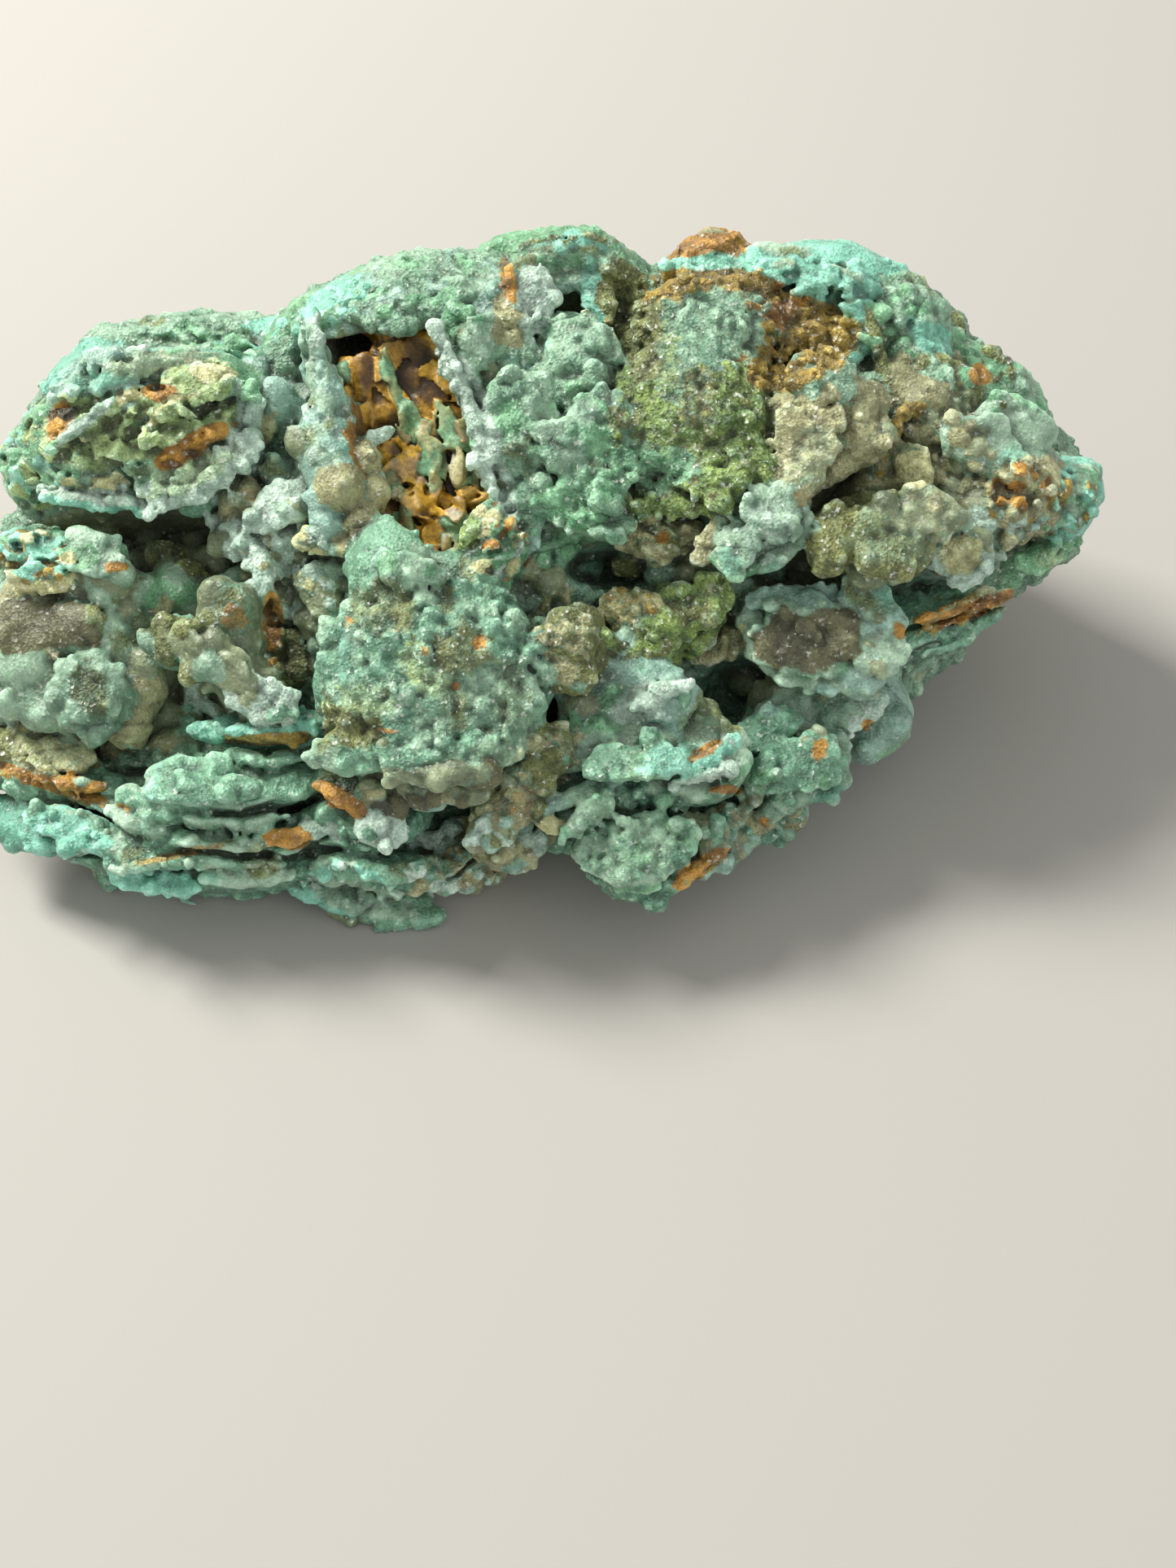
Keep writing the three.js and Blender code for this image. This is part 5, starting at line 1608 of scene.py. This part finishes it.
# Drifts of other minerals among the green ones of the show face: mineral, size of the drifts, where they
# begin and strength.
FRONT_DRIFTS = [
    ("olive", 7.0, 0.34, 0.6),
    ("pale", 5.0, 0.36, 0.35),
    ("green", 8.0, 0.26, 0.7),
    ("grape", 6.0, 0.42, 0.4),
    ("aqua", 5.5, 0.28, 0.6),
    ("turquoise", 6.5, 0.38, 0.5),
]
DRIFTED = ("crust", "teal", "druse", "aqua", "blue", "green")
DRIFT_WAVES = [(1.0, 0.7), (0.3, 0.3)]  # spacing, in the drift's size, and height of its noises
DRIFT_EDGE = 0.2  # how much further the noise rises until a drift is at its full strength
DRIFT_SEED = 340

# Stains of the far side: mineral and strength.
BACK_STAINS = [
    ("grape", 0.75),
    ("green", 0.8),
    ("tan", 0.9),
    ("ochre", 0.7),
    ("rust", 0.5),
    ("pale", 0.8),
]
BACK_WAVES = [(9.0, 1.0), (3.1, 0.5)]
BACK_EDGE = (0.45, 0.75)
BACK_SEED = 310
STAIN_EDGE = (1.25, 0.8)  # the share of its half sizes where a stain begins, and where it is in full
STAIN_WAVES = [(2.4, 0.30), (0.9, 0.22)]  # spacing and height of the waves in a stain's edge
STAIN_SEED = 301
JITTER_SPACING = 1.1  # how raggedly one mineral ends at the next
JITTER = 0.45
JITTER_SEED = 330


def mineral_masks(field, points, out):
    """How much of each mineral there is at points: what the forms are made of, then drifts and stains."""
    jitter = [noise_at(points, JITTER_SPACING, JITTER_SEED + axis) for axis in range(3)]
    jittered = points + JITTER * np.stack(jitter, axis=1)
    masks = {}
    for number, mineral in enumerate(MINERAL_NAMES):
        masks[mineral] = field.sample((field.mineral == number).astype(np.float32), jittered)

    def stain(mineral, amount):
        for name in masks:
            masks[name] = masks[name] * (1 - amount)
        masks[mineral] = masks[mineral] + amount

    across, up, proud = face_place(points)
    front = smooth_step(proud - core_out(across, up), -SHOW_DEPTH, -SHOW_DEPTH + SHOW_FADE)
    front = front * smooth_step(out @ OUT, *SHOW_FACING)
    among = sum(masks[name] for name in DRIFTED)
    for number, (mineral, size, start, strength) in enumerate(FRONT_DRIFTS):
        drift = waves(noise_at, points, DRIFT_WAVES, DRIFT_SEED + number, 10, size)
        stain(mineral, strength * smooth_step(drift, start, start + DRIFT_EDGE) * among * front)
    ragged = waves(noise_at, points, STAIN_WAVES, STAIN_SEED, 1)
    for mineral, a, b, ra, rb, spin, strength in STAINS:
        c, s = cos_and_sin(spin)
        da, db = across - a, up - b
        u = (da * c + db * s) / ra
        v = (db * c - da * s) / rb
        stain(mineral, strength * smooth_step(np.hypot(u, v) + ragged, *STAIN_EDGE) * front)
    for number, (mineral, strength) in enumerate(BACK_STAINS):
        drift = waves(noise_at, points, BACK_WAVES, BACK_SEED + number, 10)
        stain(mineral, strength * smooth_step(drift, *BACK_EDGE) * (1 - front))
    return masks


# ---------- the limonite in the window ----------
WINDOW_AT = (-13.6, 14.5)  # the middle of the window, across and up
WINDOW_SPIN = 20
WINDOW_SIZE = (8, 16)  # its half sizes along its width and height
WINDOW_SEED = 77
WINDOW_REACH = np.array([14.0, 17.0, 15.0])  # how far its field reaches each way, in x, y and z
WINDOW_MESH = (0.26, 0.15)  # voxel, and how flat a patch may be to be meshed with larger triangles
FLOOR_OUT = -3.5  # how far out of the core's skin the window's floor lies
FLOOR_RISE = 0.11  # how much further out it lies for each mm down the window
FLOOR_SIZE = np.array([8.2, 15.6, 4.0])
FLOOR_SUNK = -3.2  # where the middle of the floor's slab lies, and how it leans
FLOOR_LEAN = -6
FLOOR_TONE = 0.14
FLOOR_BLOCKS = (2.3, 3.2, 1.7)
FLOOR_BLOCK_HEIGHT = 1.0
FLOOR_SEED = 900
HOLE_AT = (-21.3, 26.6)  # the dark hole in the window's upper left corner
HOLE_SIZE = np.array([2.4, 1.8, 4.0])
WINDOW_BLEND = 0.5
SLAB_BLEND = 0.1
SLAB_POWER = 7
SCRAPS = 50
SCRAP_POWER = 6
SCRAP_FIELD = (6, 13.5)  # how far from the window's middle scraps lie, along its width and height
SCRAP_RISE = (-0.2, 1.0)
SCRAP_SPIN = (-40, 40)
SCRAP_TILT = (-35, 35)
SCRAP_SIZES = [(0.4, 1.1), (0.7, 2.2), (0.3, 0.6)]
GREEN_SHARE = 0.35  # the share of scraps that are green, and how it grows with each mm right and down
GREEN_RIGHT = 0.05
GREEN_DOWN = 0.02
GREEN_TONES = (0.6, 1.0)
BROWN_TONES = (0.1, 0.5)


def in_window(across, up, proud):
    """The point that stands proud mm before the window's floor."""
    floor = FLOOR_OUT + FLOOR_RISE * (WINDOW_AT[1] - up)
    return bent(on_sight_line(across, up, float(core_out(*WINDOW_AT)) + floor + proud))


def scrap(rng):
    """A small plate anywhere in the window, more often green at its right and low in it."""
    c, s = cos_and_sin(WINDOW_SPIN)
    u, v = [rng.uniform(-limit, limit) for limit in SCRAP_FIELD]
    green = rng.random() < GREEN_SHARE + GREEN_RIGHT * u - GREEN_DOWN * v
    across = WINDOW_AT[0] + u * c - v * s
    up = WINDOW_AT[1] + u * s + v * c
    place = in_window(across, up, rng.uniform(*SCRAP_RISE))
    spin = WINDOW_SPIN + rng.uniform(*SCRAP_SPIN)
    turn = turn_on_face(spin, rng.uniform(*SCRAP_TILT), rng.uniform(*SCRAP_TILT))
    size = np.array([rng.uniform(*limits) for limits in SCRAP_SIZES])
    tone = rng.uniform(*GREEN_TONES) if green else rng.uniform(*BROWN_TONES)
    return Form(place, turn, size, SCRAP_POWER, SLAB_BLEND, "rust", tone)


def window_limonite():
    """Broken limonite: the large slabs of the table and many scraps between them, on a floor of blocks."""
    rng = np.random.default_rng(WINDOW_SEED)
    middle = in_window(*WINDOW_AT, 0)
    field = Field(middle - WINDOW_REACH, middle + WINDOW_REACH, WINDOW_MESH[0])
    field.bend()
    turn = turn_on_face(WINDOW_SPIN, FLOOR_LEAN)
    field.join(Form(in_window(*WINDOW_AT, FLOOR_SUNK), turn, FLOOR_SIZE, SHELF_POWER, WINDOW_BLEND,
                    "rust", FLOOR_TONE))
    for _ in range(SCRAPS):
        field.join(scrap(rng))
    for tone, across, up, proud, ra, rb, rw, *turns in LIMONITE_SLABS:
        place = in_window(across, up, proud)
        size = np.array([ra, rb, rw])
        field.join(Form(place, turn_on_face(*turns), size, SLAB_POWER, SLAB_BLEND, "rust", tone))
    field.sink(Form(in_window(*HOLE_AT, 0), FACE, HOLE_SIZE, ROUND, WINDOW_BLEND, "rust", 0))
    place = (*WINDOW_AT, *WINDOW_SIZE, WINDOW_SPIN)
    field.shatter(place, FLOOR_BLOCKS, FLOOR_BLOCK_HEIGHT, None, FLOOR_SEED)
    return field


# ---------- from fields to meshes ----------
FINE_RELIEF = 0.8  # how far round each point the creases and rims are judged, in mm
BROAD_RELIEF = 2.4
RELIEF_FULL = 0.45  # the averaged distance, in reaches, at which a rim or a crease is in full


def relief(field, points, reach):
    """-1 in creases to 1 on rims, from the distances averaged around each point."""
    return np.clip(field.sample(field.smoothed(reach), points) / (RELIEF_FULL * reach), -1, 1)


def new_mesh_object(name, points, triangles):
    mesh = bpy.data.meshes.new(name)
    mesh.vertices.add(len(points))
    mesh.vertices.foreach_set("co", (points * MM).astype(np.float32).ravel())
    mesh.loops.add(3 * len(triangles))
    mesh.loops.foreach_set("vertex_index", triangles.astype(np.int32).ravel())
    mesh.polygons.add(len(triangles))
    mesh.polygons.foreach_set("loop_start", np.arange(0, 3 * len(triangles), 3, dtype=np.int32))
    mesh.polygons.foreach_set("loop_total", np.full(len(triangles), 3, np.int32))
    mesh.update(calc_edges=True)
    mesh.shade_smooth()
    piece = bpy.data.objects.new(name, mesh)
    bpy.context.scene.collection.objects.link(piece)
    return piece


def add_attribute(mesh, name, values):
    layer = mesh.attributes.new(name, "FLOAT", "POINT")
    layer.data.foreach_set("value", np.ascontiguousarray(values, np.float32))


def make_piece(name, field, flatness, material, trim=None):
    """Meshes a field, trimmed to a piece of the stone, and marks what its surface is like untrimmed."""
    whole = field.distance
    if trim is not None:
        field.keep_within(trim, BORDER_BLEND)
    field.cut_at_ground()
    points, triangles = field.mesh(flatness)
    field.distance = whole
    piece = new_mesh_object(name, points, triangles)
    add_attribute(piece.data, "tone", field.sample(field.tone, points))
    add_attribute(piece.data, "fine_relief", relief(field, points, FINE_RELIEF))
    add_attribute(piece.data, "relief", relief(field, points, BROAD_RELIEF))
    grain = 0
    for mineral, amount in mineral_masks(field, points, field.slope(points)).items():
        add_attribute(piece.data, mineral, amount)
        grain = grain + MINERALS[mineral].grain * amount
    add_attribute(piece.data, "grain", grain)
    piece.data.materials.append(material)
    return piece


# ---------- materials ----------
class Tree:
    """Short calls for a material's nodes."""

    def __init__(self, name):
        self.material = bpy.data.materials.new(name)
        self.material.use_nodes = True
        self.nodes = self.material.node_tree.nodes
        self.shader = self.nodes["Principled BSDF"]

    def link(self, source, target):
        self.material.node_tree.links.new(source, target)

    def plug(self, value, socket):
        if isinstance(value, bpy.types.NodeSocket):
            self.link(value, socket)
        elif value is not None:
            socket.default_value = value

    def attribute(self, name):
        node = self.nodes.new("ShaderNodeAttribute")
        node.attribute_name = name
        return node.outputs["Fac"]

    def coordinates(self):
        return self.nodes.new("ShaderNodeTexCoord").outputs["Object"]

    def noise(self, size, detail=2.0, roughness=0.5):
        """Noise with lumps of a size in metres."""
        node = self.nodes.new("ShaderNodeTexNoise")
        self.link(self.coordinates(), node.inputs["Vector"])
        node.inputs["Scale"].default_value = 1 / size
        node.inputs["Detail"].default_value = detail
        node.inputs["Roughness"].default_value = roughness
        return node.outputs["Fac"]

    def cells(self, size):
        """Crystals of a size in metres: the way to the middle of a place's crystal, and a colour for it."""
        node = self.nodes.new("ShaderNodeTexVoronoi")
        self.link(self.coordinates(), node.inputs["Vector"])
        node.inputs["Scale"].default_value = 1 / size
        return node.outputs["Distance"], node.outputs["Color"]

    def math(self, operation, a, b=None, clamp=False):
        node = self.nodes.new("ShaderNodeMath")
        node.operation = operation
        node.use_clamp = clamp
        self.plug(a, node.inputs[0])
        self.plug(b, node.inputs[1])
        return node.outputs["Value"]

    def add(self, a, b):
        return self.math("ADD", a, b)

    def times(self, a, b, clamp=False):
        return self.math("MULTIPLY", a, b, clamp)

    def step(self, value, low, high, to_low=0.0, to_high=1.0):
        """The value eased between two limits."""
        node = self.nodes.new("ShaderNodeMapRange")
        node.interpolation_type = "SMOOTHSTEP"
        self.plug(value, node.inputs["Value"])
        node.inputs["From Min"].default_value = low
        node.inputs["From Max"].default_value = high
        node.inputs["To Min"].default_value = to_low
        node.inputs["To Max"].default_value = to_high
        return node.outputs["Result"]

    def mix(self, share, a, b):
        node = self.nodes.new("ShaderNodeMix")
        node.data_type = "RGBA"
        self.plug(share, node.inputs["Factor"])
        self.plug(self.rgba(a), node.inputs["A"])
        self.plug(self.rgba(b), node.inputs["B"])
        return node.outputs["Result"]

    def shaded(self, colour, share):
        """A colour made darker or lighter."""
        node = self.nodes.new("ShaderNodeVectorMath")
        node.operation = "SCALE"
        self.plug(colour, node.inputs["Vector"])
        self.plug(share, node.inputs["Scale"])
        return node.outputs["Vector"]

    def vector(self, operation, a, b=None):
        node = self.nodes.new("ShaderNodeVectorMath")
        node.operation = operation
        self.plug(a, node.inputs[0])
        self.plug(b, node.inputs[1])
        return node.outputs["Vector"]

    @staticmethod
    def rgba(colour):
        return (*colour, 1.0) if isinstance(colour, tuple) and len(colour) == 3 else colour

    def ramp(self, value, stops):
        node = self.nodes.new("ShaderNodeValToRGB")
        elements = node.color_ramp.elements
        while len(elements) < len(stops):
            elements.new(0.5)
        for element, (place, colour) in zip(elements, stops):
            element.position = place
            element.color = self.rgba(colour)
        self.plug(value, node.inputs["Fac"])
        return node.outputs["Color"]

    def bump(self, height, distance, strength, normal=None):
        node = self.nodes.new("ShaderNodeBump")
        node.inputs["Distance"].default_value = distance
        node.inputs["Strength"].default_value = strength
        self.plug(height, node.inputs["Height"])
        self.plug(normal, node.inputs["Normal"])
        return node.outputs["Normal"]


# Noises: the size of their lumps in metres, their detail and their roughness.
DRIFT = (5 * MM, 2.0)
MOTTLE = (1.3 * MM, 4.0, 0.65)
RAGGED = (0.7 * MM, 3.0, 0.65)
BLOOM = (2.4 * MM, 4.0, 0.6)
SPECKLE = (0.3 * MM, 3.0, 0.7)
GLINTS = (0.9 * MM, 2.0)
PITTING = (0.6 * MM, 4.0, 0.7)
CRYSTAL_SIZE = 0.34 * MM

# Steps: the values between which each runs, and from what to what where that isn't from 0 to 1.
SHADE_STEP = (0.68, 1.52)
MINERAL_STEP = (0.55, 1.08)
BLOOM_STEP = (0.50, 0.72)
# The rim steps paint light on rims, and the shadow and crease steps paint shade in creases.
PAINTED_RIM_GLOW_STEP = (0.1, 0.9)
DUSTED_STEP = (0.0, 1.0, 1.0, 0.2)
PAINTED_RIM_PALE_STEP = (0.3, 0.95, 0.0, 0.22)
SHADOW_STEP = (-0.7, 0.1, 0.45, 1.0)
CREASE_SHADE_STEP = (0.05, -0.8, 0.0, 0.75)
SPECK_STEP = (0.35, 0.65, -0.22, 0.18)
FACING_STEP = (0.0, 1.0, -0.14, 0.14)
GLINT_STEP = (0.74, 0.86)
GLINTING_STEP = (0.48, 0.6)
GLOSS_STEP = (0.0, 0.8, 0.44, 0.14)

TONE_SHARE = 0.5  # how much tone, drifts and ragged edges count beside the finer noises
DRIFT_SHARE = 0.7
RAGGED_SHARE = 0.6
BLOOM_SHARE = 0.5  # how much the bloomed patches count beside the painted light on rims
WITHOUT_BLOOM_OR_RIM_LIGHT = 0.95  # how bright the colour is without bloomed patches or painted rim light, and how much brighter with them
BLOOM_AND_RIM_LIGHT_GAIN = 0.5
# how far the bloomed patches and rims are mixed towards the colour of the painted rim light
BLOOM_AND_RIM_LIGHT_PALE = 0.14
# the colour of the painted light on rims
RIM_LIGHT_COLOUR = (0.56, 0.74, 0.64)
# the colour of the painted shade in deep creases
CREASE_SHADE_COLOUR = (0.035, 0.045, 0.02)
# the white painted on glinting crystals as a painted highlight
PAINTED_SPARKLE_COLOUR = (0.92, 0.96, 0.9)
FACET_TILT = 0.55  # how far each fine crystal's face is turned from the surface it grows on
PITTING_DEPTH = 0.42 * MM
FACET_DEPTH = 0.16 * MM
BUMP_STRENGTH = 0.9
PAINTED_GLINT_SHARE = 0.75  # how much of a glinting crystal's colour is the painted sparkle's white
CLEARNESS = 0.3  # the share of light that goes under the surface
CLEAR_DEPTH = 0.55 * MM
CLEAR_REACH = (0.7, 1.0, 0.8)  # how far red, green and blue light goes there, in that depth
SMITHSONITE_IOR = 1.62
SHEEN = 0.1
SHEEN_ROUGHNESS = 0.4


def mineral_colour(tree):
    """Each mineral between its darker and lighter colour, ending raggedly at the next."""
    tone = tree.times(tree.attribute("tone"), TONE_SHARE)
    shade = tree.add(tone, tree.times(tree.noise(*DRIFT), DRIFT_SHARE))
    share = tree.step(tree.add(shade, tree.noise(*MOTTLE)), *SHADE_STEP)
    ragged = tree.times(tree.noise(*RAGGED), RAGGED_SHARE)
    colour = None
    for name, mineral in MINERALS.items():
        own = tree.mix(share, mineral.dark, mineral.light)
        if colour is None:
            colour = own
        else:
            amount = tree.step(tree.add(tree.attribute(name), ragged), *MINERAL_STEP)
            colour = tree.mix(amount, colour, own)
    return colour


def bloom_and_painted_light(tree, colour, grain):
    """The colour paler in pale bloomed patches, with painted light on the rims and painted shade in
    creases.
    """
    fine_relief = tree.attribute("fine_relief")
    bloom_and_rim_light = tree.times(tree.step(tree.noise(*BLOOM), *BLOOM_STEP), grain)
    # From here on this also holds painted light on the rims, where the fine relief is high.
    bloom_and_rim_light = tree.add(tree.times(bloom_and_rim_light, BLOOM_SHARE), tree.step(fine_relief, *PAINTED_RIM_GLOW_STEP))
    colour = tree.shaded(colour, tree.add(tree.times(bloom_and_rim_light, BLOOM_AND_RIM_LIGHT_GAIN), WITHOUT_BLOOM_OR_RIM_LIGHT))
    # Painted shade: fine creases are made darker.
    colour = tree.shaded(colour, tree.step(fine_relief, *SHADOW_STEP))
    earthy = tree.add(tree.attribute("umber"), tree.add(tree.attribute("rust"), tree.attribute("ochre")))
    dusted = tree.step(earthy, *DUSTED_STEP)
    # Painted light: rims and bloomed patches are mixed towards a pale colour, less so on earthy stains.
    rim = tree.add(tree.times(bloom_and_rim_light, BLOOM_AND_RIM_LIGHT_PALE), tree.step(fine_relief, *PAINTED_RIM_PALE_STEP))
    colour = tree.mix(tree.times(rim, dusted, clamp=True), colour, RIM_LIGHT_COLOUR)
    # Painted shade: deep creases are mixed towards near black.
    return tree.mix(tree.step(tree.attribute("relief"), *CREASE_SHADE_STEP), colour, CREASE_SHADE_COLOUR)


def crystal_normal(tree, crystal, facing, grain):
    """The surface pitted and set with fine crystals, whose faces are turned each its own way."""
    normal = tree.bump(tree.times(tree.noise(*PITTING), grain), PITTING_DEPTH, BUMP_STRENGTH)
    normal = tree.bump(tree.times(crystal, grain), FACET_DEPTH, BUMP_STRENGTH, normal)
    tilt = tree.vector("SUBTRACT", facing, (0.5, 0.5, 0.5))
    tilt = tree.shaded(tilt, tree.times(grain, FACET_TILT))
    return tree.vector("NORMALIZE", tree.vector("ADD", normal, tilt))


def crust_material():
    """Waxy, half clear smithsonite, dusted with fine crystals of which a few glint, made glossier and
    painted white as a painted highlight.
    """
    tree = Tree("smithsonite crust")
    grain = tree.attribute("grain")
    colour = bloom_and_painted_light(tree, mineral_colour(tree), grain)
    crystal, facing = tree.cells(CRYSTAL_SIZE)
    speck = tree.step(tree.noise(*SPECKLE), *SPECK_STEP)
    speck = tree.add(speck, tree.step(facing, *FACING_STEP))
    colour = tree.shaded(colour, tree.add(tree.times(speck, grain), 1.0))
    glint = tree.times(tree.step(facing, *GLINT_STEP), tree.step(tree.noise(*GLINTS), *GLINTING_STEP))
    glint = tree.times(glint, grain, clamp=True)
    # Painted highlight: glinting crystals are mixed towards white.
    colour = tree.mix(tree.times(glint, PAINTED_GLINT_SHARE), colour, PAINTED_SPARKLE_COLOUR)
    shader = tree.shader
    tree.link(colour, shader.inputs["Base Color"])
    tree.link(tree.step(glint, *GLOSS_STEP), shader.inputs["Roughness"])
    tree.link(crystal_normal(tree, crystal, facing, grain), shader.inputs["Normal"])
    shader.inputs["IOR"].default_value = SMITHSONITE_IOR
    shader.inputs["Subsurface Weight"].default_value = CLEARNESS
    shader.inputs["Subsurface Radius"].default_value = CLEAR_REACH
    shader.inputs["Subsurface Scale"].default_value = CLEAR_DEPTH
    shader.inputs["Sheen Weight"].default_value = SHEEN
    shader.inputs["Sheen Roughness"].default_value = SHEEN_ROUGHNESS
    return tree.material


# The limonite's colours by tone: browns, orange and mauve up to about a half, and greens above it.
LIMONITE = [
    (0.0, (0.10, 0.045, 0.008)),
    (0.13, (0.48, 0.25, 0.02)),
    (0.30, (0.88, 0.53, 0.05)),
    (0.44, (0.58, 0.38, 0.22)),
    (0.58, (0.14, 0.26, 0.11)),
    (0.74, (0.27, 0.55, 0.33)),
    (0.90, (0.64, 0.60, 0.30)),
    (1.0, (0.64, 0.70, 0.55)),
]
# The dark of random flecks and of the painted shade in creases and hollows, then the pale of the painted
# light on rims.
LIMONITE_FLECK_AND_SHADE = (0.025, 0.012, 0.005)
LIMONITE_RIM_LIGHT = (0.55, 0.40, 0.16)
LIMONITE_MOTTLE = (1.4 * MM, 3.0)
LIMONITE_GRAIN = (0.5 * MM, 4.0, 0.65)
LIMONITE_PITTING = (0.6 * MM, 4.0, 0.6)
LIMONITE_PIT_DEPTH = 0.2 * MM
LIMONITE_MOTTLE_SHARE = 0.16
LIMONITE_GRAIN_STEP = (0.62, 0.35, 0.0, 0.45)
LIMONITE_CREASE_SHADE_STEP = (-0.05, -0.6, 0.0, 0.75)
LIMONITE_DEEP_SHADE_STEP = (0.0, -0.8, 0.0, 0.85)
LIMONITE_RIM_LIGHT_STEP = (0.35, 0.9, 0.0, 0.35)
LIMONITE_BUMP = 0.5
LIMONITE_ROUGHNESS = 0.42


def limonite_material():
    tree = Tree("limonite boxwork")
    fine_relief = tree.attribute("fine_relief")
    mottle = tree.times(tree.noise(*LIMONITE_MOTTLE), LIMONITE_MOTTLE_SHARE)
    tone = tree.add(tree.attribute("tone"), mottle)
    colour = tree.ramp(tree.math("SUBTRACT", tone, LIMONITE_MOTTLE_SHARE / 2, clamp=True), LIMONITE)
    grain = tree.noise(*LIMONITE_GRAIN)
    colour = tree.mix(tree.step(grain, *LIMONITE_GRAIN_STEP), colour, LIMONITE_FLECK_AND_SHADE)
    # Painted shade in fine creases, painted light on rims, then painted shade in deep hollows.
    colour = tree.mix(tree.step(fine_relief, *LIMONITE_CREASE_SHADE_STEP), colour, LIMONITE_FLECK_AND_SHADE)
    colour = tree.mix(tree.step(fine_relief, *LIMONITE_RIM_LIGHT_STEP), colour, LIMONITE_RIM_LIGHT)
    deep = tree.step(tree.attribute("relief"), *LIMONITE_DEEP_SHADE_STEP)
    colour = tree.mix(deep, colour, LIMONITE_FLECK_AND_SHADE)
    normal = tree.bump(tree.noise(*LIMONITE_PITTING), LIMONITE_PIT_DEPTH, LIMONITE_BUMP)
    shader = tree.shader
    tree.link(colour, shader.inputs["Base Color"])
    tree.link(normal, shader.inputs["Normal"])
    shader.inputs["Roughness"].default_value = LIMONITE_ROUGHNESS
    return tree.material


# ---------- building ----------
def build_stone():
    crust = crust_material()
    growths, skin = all_growths()
    pieces = []
    borders = piece_borders(skin)
    meshing = {name: BACK_MESH if name in BACK_PIECES else FRONT_MESH for name in borders}

    def grown(name):
        return piece_field(skin, growths, borders[name], meshing[name][0])

    with ThreadPoolExecutor() as pool:
        for name, field in zip(borders, pool.map(grown, borders)):
            pieces.append(make_piece(name, field, meshing[name][1], crust, field.border))
    pieces.append(make_piece("window_limonite", window_limonite(), WINDOW_MESH[1], limonite_material()))
    return pieces


pieces = build_stone()
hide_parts(NODE)
for piece in pieces:
    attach(piece, "root")


# ---------- floor and lights ----------
FLOOR_COLOUR = (0.43, 0.415, 0.395)
FLOOR_ROUGHNESS = 0.85
FLOOR_HALF = 1.5  # half its length, in metres
KEY_PLACE = (-0.52, 0.34, 0.70)
KEY_COLOUR = (1.0, 0.975, 0.90)
FILL_PLACE = (0.5, -0.6, 0.5)
FILL_COLOUR = (0.97, 0.98, 1.0)
SKY_COLOUR = (0.98, 0.98, 0.93)


def add_floor():
    mesh = bpy.data.meshes.new("floor")
    half = FLOOR_HALF
    corners = [(-half, -half, 0), (half, -half, 0), (half, half, 0), (-half, half, 0)]
    mesh.from_pydata(corners, [], [(0, 1, 2, 3)])
    floor = bpy.data.objects.new("floor", mesh)
    bpy.context.scene.collection.objects.link(floor)
    tree = Tree("floor")
    tree.shader.inputs["Base Color"].default_value = (*FLOOR_COLOUR, 1.0)
    tree.shader.inputs["Roughness"].default_value = FLOOR_ROUGHNESS
    mesh.materials.append(tree.material)


def add_light(name, place, energy, size, colour):
    """A square light that shines from a place towards the middle of the floor."""
    data = bpy.data.lights.new(name, "AREA")
    data.energy = energy
    data.size = size
    data.color = colour
    light = bpy.data.objects.new(name, data)
    bpy.context.scene.collection.objects.link(light)
    away = np.array(place) / np.linalg.norm(place)
    side = np.cross([0, 0, 1], away)
    side = side / np.linalg.norm(side)
    pose = np.eye(4)
    pose[:3, 0] = side
    pose[:3, 1] = np.cross(away, side)
    pose[:3, 2] = away
    pose[:3, 3] = place
    light.matrix_world = Matrix(pose)


def add_sky(strength):
    world = bpy.data.worlds.new("studio")
    bpy.context.scene.world = world
    world.use_nodes = True
    background = world.node_tree.nodes["Background"]
    background.inputs["Color"].default_value = (*SKY_COLOUR, 1.0)
    background.inputs["Strength"].default_value = strength


add_floor()
add_light("key", KEY_PLACE, energy=13.6, size=0.32, colour=KEY_COLOUR)
add_light("fill", FILL_PLACE, energy=1.6, size=0.8, colour=FILL_COLOUR)
add_sky(strength=0.54)
bpy.context.scene.view_settings.view_transform = "Standard"
